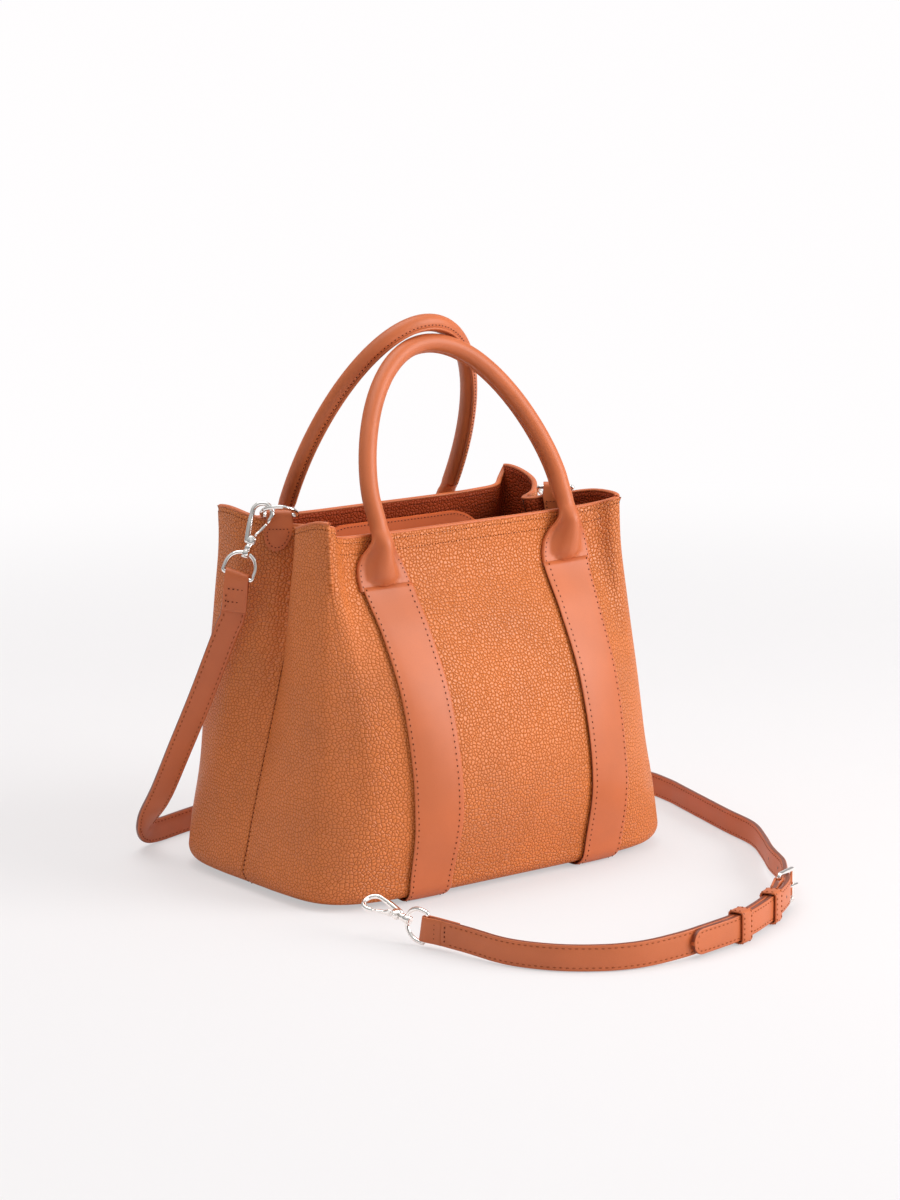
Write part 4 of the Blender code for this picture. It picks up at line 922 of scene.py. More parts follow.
@recipe("pale floor")
def floor_material(tree, shader, place, colour):
    """Paper that fades into plain white away from the bag, and keeps the bag's shadow near it."""
    tone = use_group(tree, "Hide tone", place, patch_scale=3.0, pore_scale=120.0)["Tone"]
    for label, value in (("Base Color", mixed(tree, tone, shade(colour, 0.995), shade(colour, 1.005))),
                         ("Roughness", 0.9), ("Specular IOR Level", 0.1)):
        feed(tree, value, shader.inputs[label])
    far = add(tree, "ShaderNodeVectorMath", {0: place}, operation="LENGTH").outputs["Value"]
    away = ranged(tree, far, 0.25, 1.5)
    glow = add(tree, "ShaderNodeEmission", {"Color": (1.0, 0.985, 0.99, 1.0),
                                            "Strength": part_of(tree, away, 0.14, 0.86)})
    ray = tree.nodes.new("ShaderNodeLightPath").outputs["Is Camera Ray"]
    share = sum_of(tree, "MULTIPLY", ray, part_of(tree, away, 0.45, 0.55))
    total = add(tree, "ShaderNodeMixShader", {0: share, 1: shader.outputs[0], 2: glow.outputs[0]})
    tree.links.new(total.outputs[0], tree.nodes["Material Output"].inputs["Surface"])


# Frames of the hardware, as in the part

def frame_matrix(origin, x_axis, z_axis):
    up = Vector(z_axis).normalized()
    side = Vector(x_axis)
    side = (side - up * side.dot(up)).normalized()
    depth = up.cross(side)
    matrix = Matrix((side, depth, up)).transposed().to_4x4()
    matrix.translation = origin
    return matrix


def ring_tab_middle():
    wall = LEATHER + LAYER_GAP + FACING
    outer = 2 * GAP + RING_TAB_THICKNESS / 2
    inner = -(wall + 3 * GAP + RING_TAB_THICKNESS / 2)
    return outer, inner


def ring_tab_outward(half, side):
    ends = [wall_point(half, side * station, 1.0) for station in RING_TAB_STATIONS]
    along = ends[0] - ends[2]
    along.z = 0
    return along.normalized().cross(Vector((0, 0, 1))) * (side * half)


def ring_tab_point(half, side, station, outward, rise):
    rims = [wall_point(half, side * share, 1.0) for share in RING_TAB_STATIONS]
    rim = wall_point(half, side * station, 1.0)
    height = rims[1].z + rise
    share = (height - LOW_HEIGHT) / (rim.z - LOW_HEIGHT)
    place = wall_point(half, side * station, min(share, 1.0))
    place.z = height
    bow = (rim - (rims[0] + rims[2]) / 4 - rims[1] / 2).dot(ring_tab_outward(half, side))
    straight = min(max(rise / RING_BAR_RISE, 0.0), 1.0)
    return place + ring_tab_outward(half, side) * (outward - bow * straight)


def ring_frame(half, side):
    """Frame of a D-ring on its bar, and the radius of its arc."""
    middle = sum(ring_tab_middle()) / 2
    ends = [ring_tab_point(half, side, station, middle, RING_BAR_RISE) for station in RING_TAB_STATIONS]
    along = ends[0] - ends[2]
    centre = (ends[0] + ends[2]) / 4 + ends[1] / 2
    along.z = 0
    lean = math.radians(RING_LEAN[side])
    upward = ring_tab_outward(half, side) * math.sin(lean) + Vector((0, 0, math.cos(lean)))
    return frame_matrix(centre, along, upward), along.length / 2 + 4 * GAP + D_WIRE_RADIUS


def hanging_hook_matrix():
    ring, radius = ring_frame(BACK, LEFT)
    angle = math.radians(CONTACT_DEGREES)
    local = Vector((radius * math.cos(angle), 0, D_SIDE_HEIGHT + radius * math.sin(angle)))
    tangent = ring.to_3x3() @ Vector((-math.sin(angle), 0, math.cos(angle)))
    down = Vector(HANGING_DIRECTION).normalized()
    across = Vector(HANGING_FACE).cross(down).normalized()
    level = (tangent - across * tangent.dot(across)).length
    slack = (HOOK_WIRE_RADIUS + D_WIRE_RADIUS + 2 * GAP) * level / abs(tangent.dot(across.cross(down)))
    return frame_matrix(ring @ local + down * (HOOK_LENGTH - slack), across, -down)


def floor_frames():
    """Frames of the free hook and of the ring that carries it."""
    away = Vector(FLOOR_HOOK_DIRECTION).normalized()
    rivet = Vector(SHORT_STRAP_ROUTE[-1][:3]) + away * (STEM_LENGTH + STRAP_RING_HEIGHT)
    drop = Matrix.Translation((0, 0, -STEM_LENGTH - STRAP_RING_HEIGHT))
    ring = frame_matrix(rivet, (0, 0, 1), away) @ drop
    return frame_matrix(rivet, Vector(FLOOR_HOOK_FACE).cross(away), away), ring


def hanging_ring_matrix():
    return hanging_hook_matrix() @ Matrix.Translation((0, 0, -STEM_LENGTH - STRAP_RING_HEIGHT))


# Strap lines

def smooth_route(rows, spacing):
    knots = [(Vector(row[:3]), Vector((math.cos(math.radians(row[3])), math.sin(math.radians(row[3])), 0)))
             for row in rows]
    return refined(knots, spacing, True)


def refined(knots, spacing, at_least_two=False):
    """Closer places on a smooth line through places of (point, facing)."""
    places = []
    for i in range(len(knots) - 1):
        (start, start_face), (end, end_face) = knots[i], knots[i + 1]
        before = knots[i - 1][0] if i else start * 2 - end
        after = knots[i + 2][0] if i + 2 < len(knots) else end * 2 - start
        count = max(2 if at_least_two else 1, round((end - start).length / spacing))
        for step in range(count):
            share = step / count
            places.append((catmull_rom(before, start, end, after, share), start_face.lerp(end_face, share)))
    places.append(knots[-1])
    return places


def nearest_place(places, target):
    return min(range(len(places)), key=lambda i: (places[i][0] - target).length)


@functools.lru_cache(maxsize=None)
def strap_lines():
    """Places of the long and the short strap at the part's spacing, and the buckle's place on the long one."""
    ring = hanging_ring_matrix()
    long_places = [(ring.translation, ring.to_3x3() @ Vector((0, -1, 0)))]
    long_places += smooth_route(LONG_STRAP_ROUTE, STRAP_SPACING)
    buckle = nearest_place(long_places, Vector(BUCKLE_PLACE))
    point, facing_way = long_places[buckle]
    eye = EYE_LEATHER + GAP + BUCKLE_WIRE_RADIUS
    places = [(point + facing_way.normalized() * (STRAP_THICKNESS / 2 + 2 * GAP + eye), facing_way)]
    for point, facing_way in long_places[buckle + 2:]:
        places.append((point + facing_way.normalized() * (STRAP_THICKNESS + GAP), facing_way))
    joined = places[-1]
    degrees = math.degrees(math.atan2(joined[1].y, joined[1].x)) - 360
    short_places = places[:-1] + smooth_route(((*joined[0], degrees),) + SHORT_STRAP_ROUTE, STRAP_SPACING)
    return long_places, short_places, buckle


def buckle_matrix():
    long_places, short_places, buckle = strap_lines()
    bar = short_places[0][0]
    (near, near_face), (far, far_face) = long_places[buckle - 1], long_places[buckle - 2]
    clear = STRAP_THICKNESS / 2 + BUCKLE_WIRE_RADIUS + 2 * GAP
    spots = [near.lerp(far, step / 20) - near_face.lerp(far_face, step / 20).normalized() * clear
             for step in range(21)]
    far_bar = min(spots, key=lambda spot: abs((spot - bar).length - BUCKLE_LENGTH))
    return frame_matrix(bar, far_bar - bar, (0, 0, 1))


# Strap tools

def strap_axes(places, i):
    """Forward, width and inner face directions of a strap at one of its places."""
    last = len(places) - 1
    forward = (places[min(i + 1, last)][0] - places[max(i - 1, 0)][0]).normalized()
    width = forward.cross(places[i][1]).normalized()
    return forward, width, width.cross(forward)


def distances(places):
    total = [0.0]
    for (before, _), (point, _) in zip(places, places[1:]):
        total.append(total[-1] + (point - before).length)
    return total


def place_at(total, distance):
    """Number of the place nearest to a distance along a line."""
    return min(range(len(total)), key=lambda k: abs(total[k] - distance))


def ribbon_mesh(name, places, start, stop, tip):
    """A strap with crowned faces, pressed down along its seams, between two distances on its line."""
    half = STRAP_THICKNESS / 2
    right = [(across, half * share) for across, share in (
        (1.0, 0.35), (0.985, 0.72), (0.94, 0.92), (0.86, 0.90), (0.80, SEAM_LEVEL), (0.74, 0.90), (0.62, 0.99),
        (0.30, 1.0), (0.0, 1.0))]
    loop = right + [(-across, out) for across, out in right[-2::-1]]
    loop += [(-across, -out) for across, out in loop]
    total = distances(places)
    rings = []
    for i, (point, _) in enumerate(places):
        if start - 1e-9 <= total[i] <= stop + 1e-9:
            left = (stop - total[i]) / (STRAP_WIDTH / 2)
            share = math.sqrt(max(1 - (1 - left) ** 2, 0.02)) if tip and left < 1 else 1.0
            _, across_way, face = strap_axes(places, i)
            rings.append([point + across_way * across * STRAP_WIDTH / 2 * share + face * out
                          for across, out in loop])
    mesh = new_mesh(name, *loft_parts(rings))
    painted = {k for k, (across, _) in enumerate(loop) if abs(across) > 0.97}
    for polygon in mesh.polygons:
        if all(v % len(loop) in painted for v in polygon.vertices):
            polygon.material_index = 1
    return mesh


def strap_seams(places, start, stop, faces_out=(-1, 1), tip=False, shift=0.0):
    """Seam lines along both edges of a strap, on its faces."""
    total = distances(places)
    lines = []
    for out in faces_out:
        both = ([], [])
        for i, (point, _) in enumerate(places):
            if start <= total[i] <= stop:
                _, across_way, face = strap_axes(places, i)
                reach = STRAP_WIDTH / 2 - SEAM_INSET
                left = stop - total[i]
                if tip and left < reach:
                    reach *= math.sqrt(max(1 - (1 - left / reach) ** 2, 0.0))
                for edge, line in zip((-1, 1), both):
                    line.append((point + across_way * edge * reach
                                 + face * (out * STRAP_THICKNESS / 2 * SEAM_LEVEL + shift), face * out))
        lines += [both[0] + both[1][::-1]] if tip else both
    return lines


def cross_seam(places, distance, out, shift=0.0):
    """One row of stitches across a strap."""
    i = place_at(distances(places), distance)
    _, across_way, face = strap_axes(places, i)
    centre = places[i][0] + face * (out * (STRAP_THICKNESS / 2 + STITCH_LIFT) + shift)
    reach = STRAP_WIDTH / 2 - SEAM_INSET - 0.0002
    return [(centre + across_way * across, face * out) for across in (-reach, reach)]


def fold_mesh(name, bar, bar_axis, places, inner_length):
    """A strap's end turned round a bar: it comes off the outer face, goes round and lies on the inner face."""
    total = distances(places)
    outer_length = 0.012
    around = BUCKLE_WIRE_RADIUS + GAP + EYE_LEATHER / 2
    outer_rest = -(STRAP_THICKNESS / 2 - EYE_LEATHER / 2 + 0.00008)
    inner_rest = STRAP_THICKNESS / 2 + EYE_LEATHER / 2 + 0.00005
    forward, across_way, face = strap_axes(places, 1)

    def at(distance, out):
        i = min(sum(value <= distance for value in total) - 1, len(places) - 2)
        share = (distance - total[i]) / max(total[i + 1] - total[i], 1e-9)
        up = strap_axes(places, i)[2]
        return places[i][0].lerp(places[i + 1][0], share) + up * out, up * (-1 if out < 0 else 1)

    line = [at(distance, -around + (around + outer_rest) * smooth_step(0.001, outer_length * 0.85, distance))
            for distance in spread(outer_length, 0.0025, 6)]
    for angle in arc(0.5, 1.5, 12)[1:-1]:
        direction = forward * math.cos(angle) - face * math.sin(angle)
        line.append((bar + direction * around, direction))
    line += [at(distance, around + (inner_rest - around) * smooth_step(0.001, 0.009, distance))
             for distance in spread(0.0025, inner_length, 12)]
    bar_way = Vector(bar_axis).normalized()
    way = across_way if across_way.dot(bar_way) > 0 else -across_way
    loop = [(1.0, 0.2), (0.985, 0.42), (0.95, 0.5), (0.5, 0.5), (0.0, 0.5), (-0.5, 0.5), (-0.95, 0.5),
            (-0.985, 0.42), (-1.0, 0.2)]
    loop += [(across, -out) for across, out in loop[::-1]]
    width = STRAP_WIDTH / 2 - 0.0001
    rings = []
    for point, outward in line:
        side = bar_way.lerp(way, smooth_step(0.0, 0.010, (point - bar).length)).normalized()
        rings.append([point + side * across * width + outward * out * EYE_LEATHER for across, out in loop])
    return new_mesh(name, *loft_parts(rings))


def rounded(left, right, low, high, corner, steps, first=0):
    """Corner centres and angles round a rectangle with round corners, the upper right corner being 0."""
    corners = [(right - corner, high - corner, 0.0), (left + corner, high - corner, 0.5),
               (left + corner, low + corner, 1.0), (right - corner, low + corner, 1.5)]
    return [(x, y, a) for x, y, start in corners[first:] + corners[:first] for a in arc(start, start + 0.5, steps)]


def keeper_mesh(name, centre, forward):
    """A keeper: a flat leather loop round both layers."""
    depth = STRAP_THICKNESS + KEEPER_CLEARANCE
    height = STRAP_WIDTH / 2 + KEEPER_CLEARANCE
    corner = KEEPER_CLEARANCE + 0.0004
    place = frame_matrix(centre, forward, (0, 0, 1))
    section = ((-1.0, 0.15), (-1.0, 0.75), (-0.95, 0.96), (-0.80, 0.93), (-0.70, 0.93), (-0.55, 1.0), (0.0, 1.04),
               (0.55, 1.0), (0.70, 0.93), (0.80, 0.93), (0.95, 0.96), (1.0, 0.75), (1.0, 0.15), (0.9, 0.0),
               (0.0, 0.0), (-0.9, 0.0))

    def at(y, z, angle, along, rise, lift=0.0):
        reach = corner + rise * KEEPER_THICKNESS + lift
        return place @ Vector((along * KEEPER_WIDTH / 2, y + math.cos(angle) * reach, z + math.sin(angle) * reach))

    outline = rounded(-depth, depth, -height, height, corner, 6)
    mesh = new_mesh(name, *loft_parts([[at(*spot, along, rise) for along, rise in section] for spot in outline],
                                      cyclic=True))
    seams = [[(at(*spot, along, 0.93, 0.0001),
               place.to_3x3() @ Vector((0, math.cos(spot[2]), math.sin(spot[2])))) for spot in outline]
             for along in (-0.75, 0.75)]
    return mesh, [line + line[:1] for line in seams]


# Operators: one for each piece or group of like pieces

class HANDBAG_OT_straps(bpy.types.Operator):
    """Lay the long and the short strap, with their folds, keepers, holes and seams"""
    bl_idname = "handbag.straps"
    bl_label = "Straps"

    def execute(self, context):
        long_places, short_places, buckle = strap_lines()
        long_line, short_line = refined(long_places, FINE_SPACING), refined(short_places, FINE_SPACING)
        (before, before_face), (end, end_face) = long_line[-4], long_line[-1]
        tip_line = long_line[:-3] + [(before.lerp(end, share), before_face.lerp(end_face, share))
                                     for share in spread(0.0, 1.0, 14)[1:]]
        leathers = [smooth_leather(), edge_paint()]
        straps = {}
        for name, places, tip in (("strap_long", tip_line, True), ("strap_short", short_line, False)):
            length = distances(places)[-1]
            mesh = ribbon_mesh(name, places, STRAP_START, length if tip else length - STRAP_START, tip)
            straps[name] = (piece(name + "_leather", mesh, leathers, "bag", (name,)), length)
        ring, floor_ring = hanging_ring_matrix(), floor_frames()[1]
        bars = (("strap_long", ring.translation, ring.col[0].xyz, long_line, 0.022, (0.0085, END_SEAM)),
                ("strap_short_buckle", short_places[0][0], Vector((0, 0, 1)), short_line, 0.016, (0.0100,)),
                ("strap_short_ring", floor_ring.translation, floor_ring.col[0].xyz, short_line[::-1], 0.022,
                 (0.0085, END_SEAM)))
        extras = {"strap_long": [], "strap_short": []}
        for name, bar, axis, places, inner, rows in bars:
            owner = extras["strap_long" if name == "strap_long" else "strap_short"]
            mesh = fold_mesh(name + "_fold", bar, axis, places, inner)
            owner.append(piece(name + "_fold", mesh, [smooth_leather()], "bag"))
            lines = [cross_seam(places, row, out, shift) for row in rows
                     for out, shift in ((-1, 0.0), (1, EYE_LEATHER + 0.00005))]
            lines += strap_seams(places, 0.0085, inner - 0.001, (1,), shift=EYE_LEATHER + 0.0003)
            owner.append(sew(name + "_fold_stitches", lines, "bag", 0.7, 1.0))
        long_length, short_length = straps["strap_long"][1], straps["strap_short"][1]
        lines = strap_seams(tip_line, END_SEAM, long_length - SEAM_INSET, tip=True)
        extras["strap_long"].append(sew("strap_long_stitches", lines, "bag", 1.0, 1.7, True))
        lines = strap_seams(short_line, 0.010, short_length - END_SEAM)
        extras["strap_short"].append(sew("strap_short_stitches", lines, "bag", 1.0, 1.7, True))
        extras["strap_long"].append(self.holes(tip_line, distances(long_places)[buckle]))
        span = len(long_places) - 1 - buckle
        for name, share, body in zip(("fixed_keeper", "sliding_keeper"), KEEPER_STATIONS, ("bag", "loose_keeper")):
            at = buckle + round(span * share)
            point, way = long_places[at]
            forward = long_places[at + 1][0] - long_places[at - 1][0]
            mesh, seams = keeper_mesh(name, point + way.normalized() * (STRAP_THICKNESS + GAP) / 2, forward)
            extras["strap_short"] += [piece(name + "_leather", mesh, [smooth_leather()], body, (name,)),
                                      sew(name + "_stitches", seams, body, 0.8, 1.1, True)]
        return {"FINISHED"}

    def holes(self, places, bar):
        """Punched holes on both sides of the buckle's bar, each filled with a dark plug of lining cloth: painted
        shade inside the hole.
        """
        total = distances(places)
        reach = STRAP_THICKNESS / 2 + 0.00006
        profile = ((-reach, 0.0), (-reach, HOLE_RADIUS), (reach, HOLE_RADIUS), (reach, 0.0))
        parts = []
        for k in range(-1, 4):
            i = place_at(total, bar - FIRST_HOLE - HOLE_PITCH * k)
            parts.append(turned_parts(profile, strap_axes(places, i)[2], 14, places[i][0]))
        # The dark plugs are painted shade standing in for the inside of each hole
        return piece("strap_hole_shade", new_mesh("strap_hole_shade", *join_parts(parts)), [lining_material()], "bag")


class HANDBAG_OT_walls(bpy.types.Operator):
    """Cut the front and back panel, their facings and the painted rim"""
    bl_idname = "handbag.walls"
    bl_label = "Walls and rim"

    def execute(self, context):
        stations = self.stations()
        rows = spread(-2.0, -1.0, 3)[:-1] + spread(-1.0, 0.0, 9)[:-1] + spread(0.0, 0.8, 34)[:-1]
        rows += spread(0.8, 1.0, 12)
        for half in (FRONT, BACK):
            label = HALF_NAMES[half]
            for name, heights, depth, thickness, leathers, slot, node in (
                    ("body", rows, 0.0, LEATHER, pebbled_leather, "grain_leather", "panel"),
                    ("inside", spread(0.848, 0.997, 10), -(LEATHER + FACING_GAP), FACING, facing, "facing_leather",
                     "facing")):
                columns = [[skin_point(half, station, height, depth) for height in heights]
                           for station in stations[::-half]]
                mesh = slab_mesh(f"{label}_{name}", columns, thickness, [leathers(), edge_paint()])
                lay_out(mesh, columns)
                piece(f"{label}_{name}", mesh, (), "bag", (f"{label}_{node}",))
        self.rim(stations)
        return {"FINISHED"}

    def stations(self):
        """Closer places where the wall turns most: the wing corners, the step and the seam."""
        return both_sides(spread(0.0, 3.4, 24)[:-1] + spread(3.4, 3.9, 10)[:-1] + spread(3.9, 8.4, 46)[:-1]
                          + spread(8.4, 9.0, 10))

    def rim(self, stations):
        rings = []
        for half in (FRONT, BACK):
            for station in stations[::-half]:
                out = skin_point(half, station, 1.0)
                top = skin_point(half, station, 1.0, -RIM_BEAD_INSET)
                way = out - top
                way.z = 0
                way.normalize()
                top.z = out.z - RIM_BEAD_DROP
                rings.append([top + way * RIM_BEAD_HALF_WIDTH * math.cos(a)
                              + Vector((0, 0, RIM_BEAD_HALF_HEIGHT * math.sin(a))) for a in circle(12)])
        leathers = [smooth_leather(shade(leather().smooth_colour, 1.08)[:3], name="rim leather")]
        piece("rim_edge", new_mesh("rim_edge", *loft_parts(rings, cyclic=True)), leathers, "bag")


class HANDBAG_OT_lining(bpy.types.Operator):
    """Sew in the lining and lay the leather base under it"""
    bl_idname = "handbag.lining"
    bl_label = "Lining and base"

    def execute(self, context):
        stations = both_sides(spread(0.0, 9.0, 60))
        rows = [-2.0, -1.5] + spread(-1.0, 0.0, 6)[:-1] + spread(0.0, 0.847, 24)
        around = [(FRONT, station) for station in stations] + [(BACK, station) for station in stations[-2:0:-1]]
        inward = -(LEATHER + LAYER_GAP)
        columns = [[skin_point(half, station, row, inward) for row in rows] for half, station in around]
        floor = tuple(i * len(rows) for i in range(len(around)))
        mesh = slab_mesh("lining", columns, LINING, [lining_material()], cyclic=True, crown=floor[::-1])
        piece("lining_cloth", mesh, (), "bag", ("lining",))
        self.base()
        dress_node("base_board", board_material())
        return {"FINISHED"}

    def base(self):
        inset = BOTTOM_ROLL + TURN_IN - 2 * GAP
        height = -1 - (inset - BOTTOM_ROLL) / TURN_IN
        stations = both_sides(spread(0.0, 9.0, 72))
        outline = []
        for half in (FRONT, BACK):
            for station in stations[::-half][:-1]:
                point = quarter_point(abs(station), height)
                outline.append(Vector((math.copysign(point.x, station), half * point.y, 0)))
        profile = ((0.90, 0.0000), (0.985, 0.0000), (0.996, 0.0003), (1.0, 0.0009), (1.0, 0.0017), (0.996, 0.0021),
                   (0.95, BASE_THICKNESS))
        rings = [[point * share + Vector((0, 0, z)) for point in outline] for share, z in profile]
        mesh = new_mesh("base_leather", *loft_parts(rings))
        keep_hide_place(mesh, [point.co[:] for point in mesh.vertices])
        piece("base_leather", mesh, [pebbled_leather()], "bag", ("base_panel",))
        seam_share, seam_height = 0.965, 0.00042
        line = [(point * seam_share + Vector((0, 0, seam_height)), Vector((0, 0, -1))) for point in outline]
        sew("base_stitches", [line + line[:1]], "bag", 1.0, 1.4)


class HANDBAG_OT_bands(bpy.types.Operator):
    """Lay the four smooth bands over the walls"""
    bl_idname = "handbag.bands"
    bl_label = "Bands"

    def execute(self, context):
        rows = spread(-1.83, -1.0, 4)[:-1] + spread(-1.0, 0.0, 10)[:-1] + spread(0.0, BAND_TOP + 0.005, 60)
        shares = [0.0, 0.012, 0.04] + spread(0.08, 0.92, 10) + [0.96, 0.988, 1.0]
        out = BAND_THICKNESS + GAP
        groove_place, groove_depth, fall = 0.075, 0.00016, 0.00045
        for half in (FRONT, BACK):
            for side in (LEFT, RIGHT):
                name = f"{HALF_NAMES[half]}_{SIDE_NAMES[side]}_band"
                columns = []
                for share in shares[::-half * side]:
                    edge = min(share, 1.0 - share)
                    drop = fall * (1 - smooth_step(0.0, 0.035, edge)) ** 2
                    groove = groove_depth * math.exp(-((edge - groove_place) / 0.02) ** 2)
                    columns.append([skin_point(half, side * band_station(share, row), row, out - drop - groove)
                                    for row in rows])
                mesh = slab_mesh(name, columns, BAND_THICKNESS - 0.0005, [smooth_leather(), edge_paint()])
                piece(name + "_leather", mesh, (), "bag", (name,))
                lines = [[(skin_point(half, side * band_station(share, row), row, out - groove_depth + 0.0001),
                           skin_normal(half, side * band_station(share, row), row)) for row in rows]
                         for share in (groove_place, 1 - groove_place)]
                sew(name + "_stitches", lines, "bag")
        return {"FINISHED"}


class HANDBAG_OT_handles(bpy.types.Operator):
    """Roll the two handles, with their flared feet and the sewn ridge along the inside"""
    bl_idname = "handbag.handles"
    bl_label = "Handles"

    def execute(self, context):
        for half in (FRONT, BACK):
            lean = Matrix.Rotation(math.radians(HANDLE_LEAN[half]) * half, 4, "X")
            matrix = Matrix.Translation((0, half * HINGE_DEPTH[half], HANDLE_HINGE_HEIGHT)) @ lean
            path = self.tube_path(half)
            last = len(path) - 1
            tangents = [(path[min(i + 1, last)] - path[max(i - 1, 0)]).normalized() for i in range(last + 1)]
            self.handle(half, matrix, path, tangents)
            self.ridge(half, matrix, path, tangents)
            self.foot_seams(half)
            dress_node(f"{HALF_NAMES[half]}_handle_core", rope_material())
        return {"FINISHED"}

    def tube_path(self, half):
        """Middle line of the tube in the handle's own plane, above its feet."""
        reach, leg, height = HANDLE_SPREAD[half], HANDLE_LEG[half], HANDLE_HEIGHT[half]
        points = [Vector((-reach, 0, rise)) for rise in spread(TUBE_START, leg, 8)[:-1]]
        for angle in arc(0.0, 1.0, 64):
            rise = abs(math.sin(angle)) ** (2 / HANDLE_SHOULDER[half])
            points.append(Vector((-reach * math.cos(angle), 0, leg + (height - leg) * rise)))
        return points + [Vector((reach, 0, point.z)) for point in points[7::-1]]

    def foot_line(self, half, side, rise):
        """A foot at a rise over the hinge: its height, height share and middle, and a way from x to station."""
        z = HANDLE_HINGE_HEIGHT + rise
        share = min(max((z - LOW_HEIGHT) / (RIM_HEIGHT - LOW_HEIGHT), 0.0), 1.0)
        low_x, middle, high_x = (wall_point(half, side * place, share).x for place in (1.0, FLARE_PLACE, 2.0))
        centre_x = middle + (side * HANDLE_SPREAD[half] - middle) * smooth_step(FLARE_BEND, 0.0, rise)
        return z, share, centre_x, lambda x: 1.0 + (x - low_x) / (high_x - low_x)

    def foot_rings(self, half, side):
        """Sections of one foot, from the crease on the band up to the tube."""
        lean = math.tan(math.radians(HANDLE_LEAN[half]))
        rows = [[a + (b - a) * share for a, b in zip(low, high)]
                for low, high in zip(FLARE[:-1], FLARE[1:]) for share in (0.0, 0.5)] + [FLARE[-1]]
        rings = []
        for rise, leaf_half, swell_half, away, inner, full in rows:
            z, share, centre_x, station_of = self.foot_line(half, side, rise)
            axis_y = HINGE_DEPTH[half] - lean * max(rise, 0.0) * smooth_step(0.0, 0.012, rise)
            full_y = axis_y + HANDLE_RADIUS
            crease = 0.86 + 0.14 * smooth_step(FLARE[0][0], -0.0220, rise)
            ring = []
            for angle in circle(RING_SIDES):
                body, across = math.sin(angle), leaf_half * math.cos(angle)
                x = centre_x + across
                wall = abs(skin_point(half, side * min(max(station_of(x), 0.6), 2.4), share, GAP + FOOT_LEAF).y)
                plane = wall + (axis_y - wall) * away
                edge = min(abs(body) * 5, 1.0) ** 0.5
                if body < 0:
                    y = plane - (FOOT_LEAF * edge * (1 - away) + inner * -body * away)
                elif away > 0.9:
                    y = plane + (full_y - plane) * body
                else:
                    swell = math.sqrt(max(1 - (across / swell_half) ** 2, 0.0)) ** 0.9
                    skirt = math.exp(-(max(abs(across) - swell_half * 0.62, 0.0) / 0.0032) ** 2)
                    wide = max(swell, 0.42 * skirt * (1 - away) * min(body * 3, 1.0))
                    y = plane + max(FOOT_LEAF * edge * crease, (full_y - plane) * full * wide)
                ring.append(Vector((x, half * y, z)))
            rings.append(ring)
        return rings

    def handle(self, half, matrix, path, tangents):
        label = HALF_NAMES[half]
        rings = self.foot_rings(half, LEFT)
        for point, tangent in zip(path, tangents):
            across = Vector((0, 1, 0)).cross(tangent)
            rings.append([matrix @ (point + (across * math.cos(a) + Vector((0, half, 0)) * math.sin(a))
                                    * HANDLE_RADIUS) for a in circle(RING_SIDES)])
        for ring in self.foot_rings(half, RIGHT)[::-1]:
            rings.append([ring[(RING_SIDES // 2 - k) % RING_SIDES] for k in range(RING_SIDES)])
        mesh = new_mesh(f"{label}_handle", *loft_parts(rings))
        nodes = (f"{label}_handle_cover", f"{label}_left_tab", f"{label}_right_tab")
        item = piece(f"{label}_handle_leather", mesh, [smooth_leather()], None, nodes)
        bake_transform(item)

    def ridge(self, half, matrix, path, tangents):
        """The leather's two edges, sewn together on the side that faces the mouth."""
        body = f"{HALF_NAMES[half]}_handle"
        turn, beside = math.radians(RIDGE_DEGREES[half]), math.radians(RIDGE_DEGREES[half] - RIDGE_SEAM_DEGREES)
        towards = Vector((0, -half, 0))
        rings, seam = [], []
        for i, (point, tangent) in enumerate(zip(path, tangents)):
            inside = Vector((0, 1, 0)).cross(tangent)
            rise = RIDGE_RISE * smooth_step(-0.5, 3.0, min(i, len(path) - 1 - i))
            out, way = (towards * math.cos(angle) + inside * math.sin(angle) for angle in (turn, beside))
            wide = out.cross(tangent)
            rings.append([matrix @ (point + out * (HANDLE_RADIUS + up) + wide * across) for across, up in (
                (-0.0009, -0.0008), (-0.0008, 0.5 * rise), (-0.0005, rise), (0.0, rise * 1.08),
                (0.0005, rise), (0.0008, 0.5 * rise), (0.0009, -0.0008))])
            seam.append((matrix @ (point + way * (HANDLE_RADIUS + 0.0001)), matrix.to_3x3() @ way))
        mesh = new_mesh(f"{body}_ridge", *loft_parts(rings))
        piece(f"{body}_ridge", mesh, [smooth_leather()], body)
        sew(f"{body}_stitches", [seam], body, 0.75, 0.9)

    def foot_seams(self, half):
        """Stitches down both edges of each foot."""
        lines = []
        for side, edge in ((side, edge) for side in (LEFT, RIGHT) for edge in (-1, 1)):
            line = []
            for rise, leaf_half, _, away, *_ in FLARE[1:9]:
                z, share, centre_x, station_of = self.foot_line(half, side, rise)
                x = centre_x + edge * (leaf_half - FOOT_INSET)
                point = skin_point(half, side * station_of(x), share, GAP + 2 * FOOT_LEAF - 0.0001)
                point.y += half * (HINGE_DEPTH[half] - abs(point.y)) * away * 0.6
                line.append((Vector((x, point.y, z)), Vector((0, half, 0))))
            lines.append(line)
        sew(f"{HALF_NAMES[half]}_foot_stitches", lines, "bag", 0.75)


